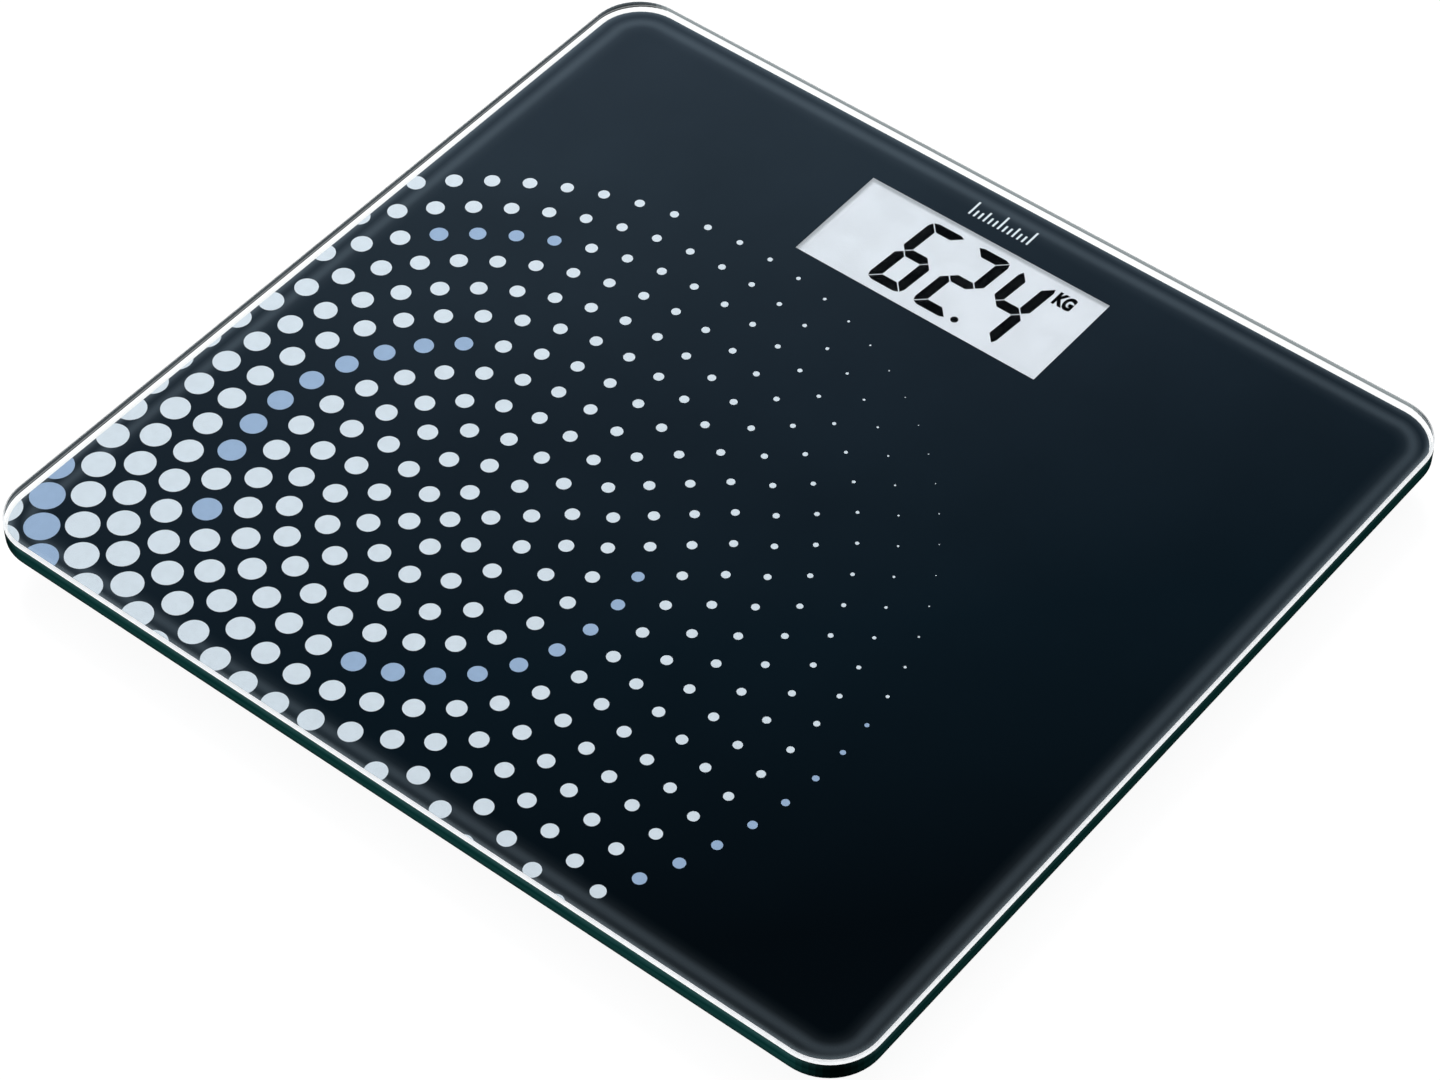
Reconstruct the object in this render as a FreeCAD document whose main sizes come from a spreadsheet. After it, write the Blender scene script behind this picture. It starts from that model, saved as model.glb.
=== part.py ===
import FreeCAD, Part
import math
import os
import re

import Sketcher

# A digital bathroom scale: a glass platform on four load-cell feet, with a display module
# bonded under the glass. Millimetres. X runs left to right, Y from the user's side to the
# display's side, Z up from the floor. The origin is on the floor, under the glass's centre.

SIZES = {
    # glass platform and the ink printed on its underside
    "glass_width": 318.0,
    "glass_depth": 300.0,
    "glass_bottom": 15.0,
    "glass_thickness": 8.0,
    "glass_corner": 17.0,
    "glass_bevel": 0.7,
    "print_inset_x": 1.5,
    "print_inset_y": 0.8,
    "print_corner": 15.8,
    "print_bottom": 14.75,
    "print_thickness": 0.2,
    "window_width": 91.2,
    "window_depth": 40.0,
    "window_x": 1.3,
    "window_y": 110.8,
    # display shell, bonded under the print, and the cover that closes it
    "shell_width": 128.0,
    "shell_depth": 87.0,
    "shell_y": 97.5,
    "shell_corner": 9.0,
    "shell_wall": 1.8,
    "shell_top": 14.35,
    "shell_plate": 1.6,
    "shell_opening_width": 97.4,
    "shell_opening_depth": 51.0,
    "cover_bottom": 4.5,
    "cover_thickness": 1.6,
    "cover_edge": 0.8,
    "cover_screw_x": 58.5,
    "cover_screw_near_y": 59.5,
    "cover_screw_far_y": 135.5,
    "cover_boss_radius": 3.0,
    "cover_counterbore": 2.4,
    "overcut": 1.0,
    "rear_loom_gap_half_width": 2.6,
    "front_loom_x": 49.3,
    "front_loom_gap_half_width": 4.0,
    # small self-tapping screws, used for the cover and the board
    "screw_head_radius": 2.1,
    "screw_head_height": 0.8,
    "screw_radius": 1.05,
    "screw_pilot_play": 0.05,
    "screw_hole_play": 0.2,
    "screw_cross_length": 2.4,
    "screw_cross_width": 0.5,
    "screw_cross_depth": 0.5,
    "cover_screw_length": 5.1,
    "cover_pilot_depth": 6.0,
    "board_screw_length": 3.6,
    "board_pilot_depth": 2.1,
    # liquid crystal display stack
    "lcd_width": 94.0,
    "lcd_depth": 47.0,
    "lcd_glass_bottom": 13.75,
    "lcd_glass_thickness": 0.7,
    "lcd_ledge": 2.5,
    "polariser_thickness": 0.2,
    "film_margin": 0.8,
    "reflector_thickness": 0.25,
    "holder_width": 97.0,
    "holder_depth": 50.2,
    "holder_top": 14.1,
    "holder_gap": 0.2,
    "light_well_half_width": 43.0,
    "light_well_half_depth": 19.6,
    "zebra_length": 84.0,
    "zebra_width": 2.0,
    "zebra_y": 88.5,
    "zebra_gap": 0.2,
    # main board
    "board_top": 10.0,
    "board_thickness": 1.6,
    "board_width": 109.0,
    "board_near_y": 82.0,
    "board_far_y": 136.5,
    "board_screw_x": 52.0,
    "board_screw_near_y": 84.4,
    "board_screw_far_y": 134.1,
    "board_boss_radius": 2.0,
    "board_corner": 1.5,
    "board_hole_play": 0.1,
    "chip_x": -8.0,
    "chip_y": 108.0,
    "chip_radius": 7.0,
    "chip_height": 1.3,
    "chip_round": 1.15,
    # coin cell and its contacts
    "battery_y": 69.0,
    "battery_bottom": 6.0,
    "battery_radius": 10.0,
    "battery_thickness": 3.2,
    "well_gap": 0.3,
    "well_wall": 1.2,
    "well_bottom": 6.7,
    "contact_thickness": 0.3,
    "contact_width": 6.0,
    "contact_play": 0.05,
    "contact_solder_reach": 3.3,
    "contact_gap_half_width": 3.4,
    "contact_gap_top": 10.7,
    "spring_bend": 7.0,
    "spring_tip": 4.0,
    "spring_lift": 0.6,
    "side_gap_reach": 2.5,
    "side_gap_far": 6.2,
    "side_contact_low": 0.9,
    "side_bridge_length": 4.95,
    "side_arm_x": 11.8,
    "side_arm_width": 3.2,
    # battery lid, hinged at its far edge
    "lid_width": 27.0,
    "lid_near_y": 57.2,
    "lid_hinge_y": 80.3,
    "lid_hinge_z": 5.5,
    "lid_thickness": 1.2,
    "lid_knuckle_radius": 0.8,
    "lid_gap": 0.35,
    "trunnion_radius": 0.6,
    "trunnion_length": 1.4,
    "trunnion_clearance": 0.05,
    "trunnion_hole_reach": 2.0,
    "socket_length": 3.0,
    "socket_half_depth": 1.5,
    "socket_top": 7.1,
    "finger_notch_radius": 5.0,
    "finger_notch_depth": 0.8,
    "lid_rib_x": 6.0,
    "lid_rib_half_width": 0.6,
    "lid_rib_half_length": 7.0,
    "lid_rib_height": 0.2,
    "catch_x": 9.0,
    "catch_half_width": 1.5,
    "catch_reach": 0.22,
    "catch_rise": 0.4,
    "catch_height": 0.4,
    # unit button and its switch
    "button_x": 36.0,
    "button_y": 90.0,
    "button_bottom": 4.4,
    "button_radius": 3.7,
    "button_edge": 0.4,
    "button_hole_radius": 4.0,
    "button_flange_radius": 4.7,
    "button_flange_bottom": 6.2,
    "button_flange_thickness": 0.3,
    "switch_side": 6.0,
    "switch_bottom": 7.0,
    "switch_well_radius": 1.8,
    "switch_well_depth": 1.1,
    "plunger_radius": 1.5,
    "plunger_length": 1.0,
    # feet
    "foot_x": 114.0,
    "foot_y": 105.0,
    "rear_turn": 90.0,
    "front_turn": 158.0,
    "foot_radius": 27.0,
    "foot_skirt": 1.8,
    "foot_top": 14.35,
    "foot_plate": 1.6,
    "foot_bottom": 4.4,
    "foot_edge": 0.5,
    "foot_adhesive_inner": 20.0,
    "cell_bottom": 9.0,
    "cell_thickness": 2.0,
    "cell_half_width": 17.0,
    "cell_near_y": -19.0,
    "cell_far_y": 13.0,
    "cell_corner": 6.0,
    "slot_half_width": 12.5,
    "slot_near_y": -14.0,
    "slot_far_y": 8.0,
    "neck_half_width": 4.0,
    "head_half_width": 8.5,
    "head_half_depth": 5.0,
    "spigot_hole_radius": 2.1,
    "rib_margin": 0.7,
    "hook_thickness": 1.2,
    "hook_width": 6.0,
    "hook_lip": 0.9,
    "hook_y": -3.0,
    "hook_bottom": 8.3,
    "hook_play": 0.1,
    "hook_clearance": 0.05,
    "gauge_length": 6.0,
    "gauge_width": 5.0,
    "gauge_thickness": 0.15,
    "gauge_near_y": -12.5,
    "disc_radius": 22.0,
    "disc_bottom": 1.6,
    "disc_edge": 1.0,
    "disc_floor": 3.8,
    "disc_rim_top": 5.6,
    "disc_rim": 1.6,
    "disc_rib_top": 5.2,
    "disc_rib_width": 1.4,
    "disc_rib_root": 0.3,
    "disc_ribs": 8,
    "boss_radius": 5.0,
    "spigot_radius": 2.0,
    "rivet_radius": 3.3,
    "rivet_bottom": 11.1,
    "rivet_side": 0.3,
    "rivet_crown": 1.2,
    "rivet_top": 11.95,
    "pad_radius": 17.0,
    "pad_top": 2.2,
    "pad_gap": 0.1,
    "pad_groove_depth": 0.7,
    "pad_groove_width": 1.2,
    "inner_groove_radius": 5.0,
    "outer_groove_radius": 10.6,
    "pad_edge": 0.5,
    # wires from the feet to the board, and the ducts over them
    "wire_radius": 0.5,
    "wire_pitch": 1.2,
    "wire_start": 9.5,
    "wire_height": 11.65,
    "wire_end_height": 10.5,
    "wire_bend": 12.0,
    "loom_gap_bottom": 10.7,
    "rear_drop_start": 53.0,
    "rear_wire_end": 63.0,
    "front_drop_start": 195.8,
    "front_wire_end": 204.3,
    "wire_drop_run": 5.0,
    "duct_half_width": 4.0,
    "duct_wall": 1.0,
    "duct_floor": 0.8,
    "duct_bottom": 10.2,
    "duct_start": 27.3,
    "rear_duct_end": 49.7,
    "front_duct_end": 169.4,
}

# Small parts on the underside of the board: centre X, centre Y, length, width, height.
BOARD_PARTS = [
    (-30.0, 94.0, 3.2, 1.6, 0.6),
    (-24.0, 94.0, 3.2, 1.6, 0.6),
    (-18.0, 94.0, 2.0, 1.2, 0.5),
    (-34.0, 101.0, 2.0, 1.2, 0.5),
    (-34.0, 106.0, 2.0, 1.2, 0.5),
    (-30.0, 114.0, 8.0, 3.0, 1.2),
    (10.0, 97.0, 3.2, 1.6, 0.6),
    (16.0, 97.0, 3.2, 1.6, 0.6),
    (12.0, 104.0, 5.0, 4.0, 1.0),
    (14.0, 114.0, 2.0, 1.2, 0.5),
    (20.0, 114.0, 2.0, 1.2, 0.5),
    (-10.0, 126.0, 3.2, 1.6, 0.6),
    (0.0, 126.0, 3.2, 1.6, 0.6),
    (10.0, 126.0, 3.5, 2.8, 1.1),
    (34.0, 124.0, 2.0, 1.2, 0.5),
    (-40.0, 124.0, 2.0, 1.2, 0.5),
]

# Feet: name, side along X, side along Y.
FEET = [
    ("front_left", -1, -1),
    ("front_right", 1, -1),
    ("rear_left", -1, 1),
    ("rear_right", 1, 1),
]

UP = FreeCAD.Vector(0, 0, 1)

doc = FreeCAD.newDocument("BathroomScale")
sheet = doc.addObject("Spreadsheet::Sheet", "Sizes")
nodes = []


def fill_sheet():
    for row, (name, number) in enumerate(SIZES.items(), start=1):
        sheet.set(f"A{row}", name)
        sheet.set(f"B{row}", str(number))
        sheet.setAlias(f"B{row}", name)
    doc.recompute()


def bound(text):
    """The expression for a property: each size's name becomes a reference to its cell."""
    return re.sub(r"[a-z]\w*", lambda match: "Sizes." + match.group(), text)


def value(text):
    """The number that an expression gives now."""
    result = sheet.evalExpression(bound(text))
    return float(getattr(result, "Value", result))


def bind(thing, **properties):
    for name, text in properties.items():
        thing.setExpression(name, bound(text))


def place(thing, x="0", y="0", z="0", turn="0"):
    """Puts an object at a bound place, turned about the vertical."""
    base = FreeCAD.Vector(value(x), value(y), value(z))
    thing.Placement = FreeCAD.Placement(base, FreeCAD.Rotation(UP, value(turn)))
    for axis, text in (("x", x), ("y", y), ("z", z)):
        thing.setExpression("Placement.Base." + axis, bound(text))
    return thing


def keep(thing, label):
    """Marks an object as a node: its label names its file."""
    thing.Label = label
    nodes.append(thing)
    return thing


# ---- PartDesign helpers ----------------------------------------------------------------


def new_body(label):
    return keep(doc.addObject("PartDesign::Body", label), label)


def new_sketch(body, plane, level):
    sketch = body.newObject("Sketcher::SketchObject", body.Name + "_sketch")
    origin_plane = next(item for item in body.Origin.OriginFeatures if item.Role == plane)
    sketch.AttachmentSupport = [(origin_plane, "")]
    sketch.MapMode = "FlatFace"
    sketch.setExpression("AttachmentOffset.Base.z", bound(level))
    return sketch


def hold(sketch, geometry, point, x, y):
    """Fixes a sketch point by its two bound distances from the sketch's origin."""
    for kind, text in (("DistanceX", x), ("DistanceY", y)):
        constraint = Sketcher.Constraint(kind, -1, 1, geometry, point, value(text))
        index = sketch.addConstraint(constraint)
        sketch.setExpression(f"Constraints[{index}]", bound(text))


def draw_polygon(sketch, corners):
    """A closed outline with straight sides; each corner is a pair of expressions."""
    places = [FreeCAD.Vector(value(x), value(y), 0) for x, y in corners]
    first = sketch.GeometryCount
    count = len(corners)
    for start, end in zip(places, places[1:] + places[:1]):
        sketch.addGeometry(Part.LineSegment(start, end))
    for side in range(count):
        following = first + (side + 1) % count
        sketch.addConstraint(Sketcher.Constraint("Coincident", first + side, 2, following, 1))
    for side, (x, y) in enumerate(corners):
        hold(sketch, first + side, 1, x, y)
    return sketch


def draw_circle(sketch, radius, x="0", y="0"):
    centre = FreeCAD.Vector(value(x), value(y), 0)
    index = sketch.addGeometry(Part.Circle(centre, UP, value(radius)))
    hold(sketch, index, 3, x, y)
    size = sketch.addConstraint(Sketcher.Constraint("Radius", index, value(radius)))
    sketch.setExpression(f"Constraints[{size}]", bound(radius))
    return sketch


def rectangle(x_low, x_high, y_low, y_high):
    return [(x_low, y_low), (x_high, y_low), (x_high, y_high), (x_low, y_high)]


def centred_rectangle(width, depth, y="0", x="0"):
    return rectangle(
        f"{x} - ({width}) / 2", f"{x} + ({width}) / 2", f"{y} - ({depth}) / 2", f"{y} + ({depth}) / 2"
    )


def polygon_sketch(body, corners, level="0", plane="XY_Plane"):
    return draw_polygon(new_sketch(body, plane, level), corners)


def circle_sketch(body, radius, level="0", x="0", y="0"):
    return draw_circle(new_sketch(body, "XY_Plane", level), radius, x, y)


def pad(body, sketch, length):
    feature = body.newObject("PartDesign::Pad", body.Name + "_pad")
    feature.Profile = sketch
    bind(feature, Length=length)
    doc.recompute()
    return feature


def pocket(body, sketch, length):
    """Cuts upwards from the sketch, and makes sure that something was cut."""
    before = body.Shape.Volume
    feature = body.newObject("PartDesign::Pocket", body.Name + "_pocket")
    feature.Profile = sketch
    feature.Reversed = True
    bind(feature, Length=length)
    doc.recompute()
    if body.Shape.Volume > before - 0.01:
        raise RuntimeError(f"{feature.Name} cuts nothing")
    return feature


def revolve(body, corners):
    """Turns a profile of (radius, height) corners about the body's own Z axis."""
    sketch = polygon_sketch(body, corners, plane="XZ_Plane")
    feature = body.newObject("PartDesign::Revolution", body.Name + "_turned")
    feature.Profile = sketch
    feature.ReferenceAxis = (sketch, ["V_Axis"])
    feature.Angle = 360
    doc.recompute()
    return feature


def is_upright(edge):
    if len(edge.Vertexes) != 2:
        return False
    start, end = (vertex.Point for vertex in edge.Vertexes)
    return abs((end - start).normalize().z) > 0.999


def lies_at(edge, level):
    return all(abs(vertex.Z - level) < 1e-6 for vertex in edge.Vertexes)


def edge_names(feature, chosen):
    return [f"Edge{i}" for i, edge in enumerate(feature.Shape.Edges, start=1) if chosen(edge)]


def round_edges(body, feature, chosen, radius):
    fillet = body.newObject("PartDesign::Fillet", body.Name + "_fillet")
    fillet.Base = (feature, edge_names(feature, chosen))
    bind(fillet, Radius=radius)
    doc.recompute()
    return fillet


def bevel_edges(body, feature, chosen, size):
    chamfer = body.newObject("PartDesign::Chamfer", body.Name + "_chamfer")
    chamfer.Base = (feature, edge_names(feature, chosen))
    bind(chamfer, Size=size)
    doc.recompute()
    return chamfer


def repeat_round(body, feature, count):
    """Repeats a feature around the body's own Z axis."""
    pattern = body.newObject("PartDesign::PolarPattern", body.Name + "_pattern")
    pattern.Originals = [feature]
    axis = next(item for item in body.Origin.OriginFeatures if item.Role == "Z_Axis")
    pattern.Axis = (axis, [""])
    pattern.Angle = 360
    bind(pattern, Occurrences=count)
    body.Tip = pattern
    doc.recompute()
    return pattern


# ---- Part helpers ----------------------------------------------------------------------


def box(name, x_low, y_low, z_low, length, width, height):
    thing = doc.addObject("Part::Box", name)
    bind(thing, Length=length, Width=width, Height=height)
    return place(thing, x_low, y_low, z_low)


def centred_box(name, width, depth, x, y, z_low, height):
    return box(name, f"{x} - ({width}) / 2", f"{y} - ({depth}) / 2", z_low, width, depth, height)


def cylinder(name, x, y, z_low, radius, height):
    thing = doc.addObject("Part::Cylinder", name)
    bind(thing, Radius=radius, Height=height)
    return place(thing, x, y, z_low)


def joined(name, pieces):
    thing = doc.addObject("Part::MultiFuse", name)
    thing.Shapes = pieces
    return thing


def cut(name, base, tool):
    thing = doc.addObject("Part::Cut", name)
    thing.Base = base
    thing.Tool = tool
    return thing


def group(label, pieces):
    """One node that holds several separate solids."""
    thing = doc.addObject("Part::Compound", label)
    thing.Links = pieces
    return keep(thing, label)


# ---- Platform --------------------------------------------------------------------------


def build_platform():
    glass = new_body("glass_platform")
    slab = pad(
        glass,
        polygon_sketch(glass, centred_rectangle("glass_width", "glass_depth"), "glass_bottom"),
        "glass_thickness",
    )
    rounded = round_edges(glass, slab, is_upright, "glass_corner")
    bevel_edges(glass, rounded, lambda edge: not is_upright(edge), "glass_bevel")

    ink = new_body("printed_film")
    outline = centred_rectangle("glass_width - 2 * print_inset_x", "glass_depth - 2 * print_inset_y")
    sheet_of_ink = pad(ink, polygon_sketch(ink, outline, "print_bottom"), "print_thickness")
    round_edges(ink, sheet_of_ink, is_upright, "print_corner")
    window = centred_rectangle("window_width", "window_depth", "window_y", "window_x")
    pocket(ink, polygon_sketch(ink, window, "print_bottom"), "print_thickness")


# ---- Display module --------------------------------------------------------------------


def four_places(x, near_y, far_y):
    return [(f"{side} * {x}", y) for side in (-1, 1) for y in (near_y, far_y)]


COVER_SCREWS = four_places("cover_screw_x", "cover_screw_near_y", "cover_screw_far_y")
BOARD_SCREWS = four_places("board_screw_x", "board_screw_near_y", "board_screw_far_y")


def build_shell():
    """The open box under the glass: a top plate with the display's opening, walls and bosses."""
    shell = new_body("display_shell")
    cover_top = "cover_bottom + cover_thickness"
    outline = centred_rectangle("shell_width", "shell_depth", "shell_y")
    block = pad(shell, polygon_sketch(shell, outline, cover_top), f"shell_top - ({cover_top})")
    round_edges(shell, block, is_upright, "shell_corner")

    plate_bottom = "shell_top - shell_plate"
    inside = centred_rectangle("shell_width - 2 * shell_wall", "shell_depth - 2 * shell_wall", "shell_y")
    hollow = polygon_sketch(shell, inside, cover_top)
    pocket(shell, hollow, f"{plate_bottom} - ({cover_top})")
    opening = centred_rectangle("shell_opening_width", "shell_opening_depth", "window_y", "window_x")
    pocket(shell, polygon_sketch(shell, opening, plate_bottom), "shell_plate")

    for x, y in COVER_SCREWS:
        boss = circle_sketch(shell, "cover_boss_radius", cover_top, x, y)
        pad(shell, boss, f"{plate_bottom} - ({cover_top})")
    for x, y in BOARD_SCREWS:
        boss = circle_sketch(shell, "board_boss_radius", "board_top", x, y)
        pad(shell, boss, f"{plate_bottom} - board_top")

    well = circle_sketch(shell, "battery_radius + well_gap + well_wall", "well_bottom", "0", "battery_y")
    draw_circle(well, "battery_radius + well_gap", "0", "battery_y")
    pad(shell, well, f"{plate_bottom} - well_bottom")

    pilot = "screw_radius + screw_pilot_play"
    for x, y in COVER_SCREWS:
        pocket(shell, circle_sketch(shell, pilot, cover_top, x, y), "cover_pilot_depth")
    for x, y in BOARD_SCREWS:
        pocket(shell, circle_sketch(shell, pilot, "board_top", x, y), "board_pilot_depth")

    # Gaps in the battery well for the two contacts.
    contact_gap = "contact_gap_top - well_bottom"
    spring_gap = rectangle("-contact_gap_half_width", "contact_gap_half_width",
                           "battery_y + battery_radius - overcut",
                           "battery_y + battery_radius + well_gap + well_wall + overcut")
    pocket(shell, polygon_sketch(shell, spring_gap, "well_bottom"), contact_gap)
    side_gap = rectangle("battery_radius - overcut", "battery_radius + side_gap_reach",
                         "battery_y - contact_gap_half_width", "battery_y + side_gap_far")
    pocket(shell, polygon_sketch(shell, side_gap, "well_bottom"), contact_gap)

    # Gaps in the walls where the four looms come in.
    gap_height = f"{plate_bottom} - loom_gap_bottom"
    near_wall = "(shell_y - shell_depth / 2)"
    for side in (-1, 1):
        inner = f"{side} * (shell_width / 2 - shell_wall - overcut)"
        outer = f"{side} * (shell_width / 2 + overcut)"
        low, high = sorted((inner, outer), key=value)
        rear = rectangle(low, high, "foot_y - rear_loom_gap_half_width", "foot_y + rear_loom_gap_half_width")
        pocket(shell, polygon_sketch(shell, rear, "loom_gap_bottom"), gap_height)
        middle = f"{side} * front_loom_x"
        front = rectangle(f"{middle} - front_loom_gap_half_width", f"{middle} + front_loom_gap_half_width",
                          f"{near_wall} - overcut", f"{near_wall} + shell_wall + overcut")
        pocket(shell, polygon_sketch(shell, front, "loom_gap_bottom"), gap_height)

    gasket = new_body("shell_gasket")
    ring = polygon_sketch(gasket, outline, "shell_top")
    solid_ring = pad(gasket, ring, "print_bottom - shell_top")
    round_edges(gasket, solid_ring, is_upright, "shell_corner")
    pocket(gasket, polygon_sketch(gasket, opening, "shell_top"), "print_bottom - shell_top")


def build_cover():
    """The back cover, with counterbored screw holes, the battery bay and the button's hole."""
    cover = new_body("back_cover")
    outline = centred_rectangle("shell_width", "shell_depth", "shell_y")
    slab = pad(cover, polygon_sketch(cover, outline, "cover_bottom"), "cover_thickness")
    rounded = round_edges(cover, slab, is_upright, "shell_corner")
    lower = value("cover_bottom")
    bevel_edges(cover, rounded, lambda edge: lies_at(edge, lower), "cover_edge")

    for x, y in COVER_SCREWS:
        pocket(cover, circle_sketch(cover, "cover_counterbore", "cover_bottom", x, y), "screw_head_height")
        hole = circle_sketch(cover, "screw_radius + screw_hole_play", "cover_bottom", x, y)
        pocket(cover, hole, "cover_thickness")
    pocket(cover, circle_sketch(cover, "button_hole_radius", "cover_bottom", "button_x", "button_y"),
           "cover_thickness")

    # A block over each trunnion, left and right of the lid.
    for side in (-1, 1):
        inner = f"{side} * (lid_width / 2 + lid_gap)"
        outer = f"{side} * (lid_width / 2 + socket_length)"
        ends = sorted((inner, outer), key=value)
        block = rectangle(*ends, "lid_hinge_y - socket_half_depth", "lid_hinge_y + socket_half_depth")
        pad(cover, polygon_sketch(cover, block, "cover_bottom + cover_thickness"),
            "socket_top - cover_bottom - cover_thickness")

    bay = rectangle("-lid_width / 2 - lid_gap", "lid_width / 2 + lid_gap", "lid_near_y - lid_gap",
                    "lid_hinge_y + lid_knuckle_radius + lid_gap")
    pocket(cover, polygon_sketch(cover, bay, "cover_bottom"), "cover_thickness")
    notch = circle_sketch(cover, "finger_notch_radius", "cover_bottom", "0", "lid_near_y + overcut")
    pocket(cover, notch, "finger_notch_depth")

    # The trunnions' sockets run along X, into both blocks.
    hole = new_sketch(cover, "YZ_Plane", "-lid_width / 2 - trunnion_hole_reach")
    draw_circle(hole, "trunnion_radius + trunnion_clearance", "lid_hinge_y", "lid_hinge_z")
    pocket(cover, hole, "lid_width + 2 * trunnion_hole_reach")


def screw(name, x, y, head_bottom, length):
    """A pan-head screw that points up, with a cross in its head."""
    head = cylinder(name + "_head", x, y, head_bottom, "screw_head_radius", "screw_head_height")
    shank_bottom = f"{head_bottom} + screw_head_height"
    shank = cylinder(name + "_shank", x, y, shank_bottom, "screw_radius", length)
    long_half = "screw_cross_length / 2"
    wide_half = "screw_cross_width / 2"
    slot = box(name + "_slot", f"{x} - {long_half}", f"{y} - {wide_half}", head_bottom,
               "screw_cross_length", "screw_cross_width", "screw_cross_depth")
    cross_slot = box(name + "_cross_slot", f"{x} - {wide_half}", f"{y} - {long_half}", head_bottom,
                     "screw_cross_width", "screw_cross_length", "screw_cross_depth")
    blank = joined(name + "_blank", [head, shank])
    cross = joined(name + "_cross", [slot, cross_slot])
    return cut(name, blank, cross)


def build_screws():
    cover_screws = [
        screw(f"cover_screw_{i}", x, y, "cover_bottom", "cover_screw_length")
        for i, (x, y) in enumerate(COVER_SCREWS, start=1)
    ]
    group("cover_screws", cover_screws)
    board_bottom = "board_top - board_thickness"
    board_screws = [
        screw(f"board_screw_{i}", x, y, f"{board_bottom} - screw_head_height", "board_screw_length")
        for i, (x, y) in enumerate(BOARD_SCREWS, start=1)
    ]
    group("board_screws", board_screws)


def build_lcd():
    """The display stack, from the polariser down to the reflector, its holder and connector."""
    width = "lcd_width - 2 * film_margin"
    depth = "lcd_depth - 2 * film_margin"
    glass_top = "lcd_glass_bottom + lcd_glass_thickness"
    rear_depth = "lcd_depth - lcd_ledge"
    rear_y = "window_y + lcd_ledge / 2"
    rear_bottom = "lcd_glass_bottom - lcd_glass_thickness"
    reflector_bottom = f"{rear_bottom} - reflector_thickness"
    layers = [
        ("lcd_polariser", width, depth, "window_y", glass_top, "polariser_thickness"),
        ("lcd_front_glass", "lcd_width", "lcd_depth", "window_y", "lcd_glass_bottom", "lcd_glass_thickness"),
        ("lcd_rear_glass", "lcd_width", rear_depth, rear_y, rear_bottom, "lcd_glass_thickness"),
        ("lcd_reflector", width, f"{rear_depth} - 2 * film_margin", rear_y, reflector_bottom,
         "reflector_thickness"),
    ]
    for label, layer_width, layer_depth, y, bottom, thickness in layers:
        keep(centred_box(label, layer_width, layer_depth, "window_x", y, bottom, thickness), label)

    holder = new_body("lcd_holder")
    outline = centred_rectangle("holder_width", "holder_depth", "window_y", "window_x")
    pad(holder, polygon_sketch(holder, outline, "board_top"), "holder_top - board_top")
    seat = centred_rectangle("lcd_width + 2 * holder_gap", "lcd_depth + 2 * holder_gap", "window_y",
                             "window_x")
    pocket(holder, polygon_sketch(holder, seat, reflector_bottom), f"holder_top - ({reflector_bottom})")
    light_well = centred_rectangle("2 * light_well_half_width", "2 * light_well_half_depth", "window_y",
                                   "window_x")
    pocket(holder, polygon_sketch(holder, light_well, "board_top"), f"{reflector_bottom} - board_top")
    slot = centred_rectangle("zebra_length + 2 * zebra_gap", "zebra_width + 2 * zebra_gap", "zebra_y")
    pocket(holder, polygon_sketch(holder, slot, "board_top"), f"{reflector_bottom} - board_top")

    keep(centred_box("zebra_strip", "zebra_length", "zebra_width", "0", "zebra_y", "board_top",
                     "lcd_glass_bottom - board_top"), "zebra_strip")


def build_board():
    board = new_body("main_board")
    board_bottom = "board_top - board_thickness"
    outline = rectangle("-board_width / 2", "board_width / 2", "board_near_y", "board_far_y")
    slab = pad(board, polygon_sketch(board, outline, board_bottom), "board_thickness")
    round_edges(board, slab, is_upright, "board_corner")
    for x, y in BOARD_SCREWS:
        hole = circle_sketch(board, "screw_radius + board_hole_play", board_bottom, x, y)
        pocket(board, hole, "board_thickness")

    chip = new_body("chip_blob")
    chip_bottom = f"{board_bottom} - chip_height"
    drop = pad(chip, circle_sketch(chip, "chip_radius", chip_bottom, "chip_x", "chip_y"), "chip_height")
    lower = value(chip_bottom)
    round_edges(chip, drop, lambda edge: lies_at(edge, lower), "chip_round")

    pieces = []
    for i, (x, y, length, width, height) in enumerate(BOARD_PARTS, start=1):
        piece = box(f"board_part_{i}", f"{x - length / 2}", f"{y - width / 2}",
                    f"{board_bottom} - {height}", str(length), str(width), str(height))
        pieces.append(piece)
    group("board_parts", pieces)


def build_battery():
    """The coin cell, a leaf spring on its top face and a clip at its rim."""
    keep(cylinder("coin_battery", "0", "battery_y", "battery_bottom", "battery_radius", "battery_thickness"),
         "coin_battery")

    spring = new_body("battery_spring_contact")
    cell_top = "battery_bottom + battery_thickness"
    lower = [
        ("board_near_y + contact_solder_reach", "board_top"),
        ("battery_y + spring_bend", "board_top"),
        ("battery_y", cell_top),
        ("battery_y - spring_tip", f"{cell_top} + spring_lift"),
    ]
    upper = [(y, f"{z} + contact_thickness") for y, z in reversed(lower)]
    leaf = polygon_sketch(spring, lower + upper, "-contact_width / 2", plane="YZ_Plane")
    pad(spring, leaf, "contact_width")

    edge = "battery_radius + contact_play"
    near = "battery_y - contact_width / 2"
    far = "battery_y + contact_width / 2"
    leg_bottom = "battery_bottom + side_contact_low"
    leg = box("side_contact_leg", edge, near, leg_bottom, "contact_thickness", "contact_width",
              f"board_top + contact_thickness - ({leg_bottom})")
    bridge = box("side_contact_bridge", edge, near, "board_top", "side_bridge_length", "contact_width",
                 "contact_thickness")
    arm = box("side_contact_arm", "side_arm_x", far, "board_top", "side_arm_width",
              f"board_near_y + contact_solder_reach - ({far})", "contact_thickness")
    keep(joined("battery_side_contact", [leg, bridge, arm]), "battery_side_contact")


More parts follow.
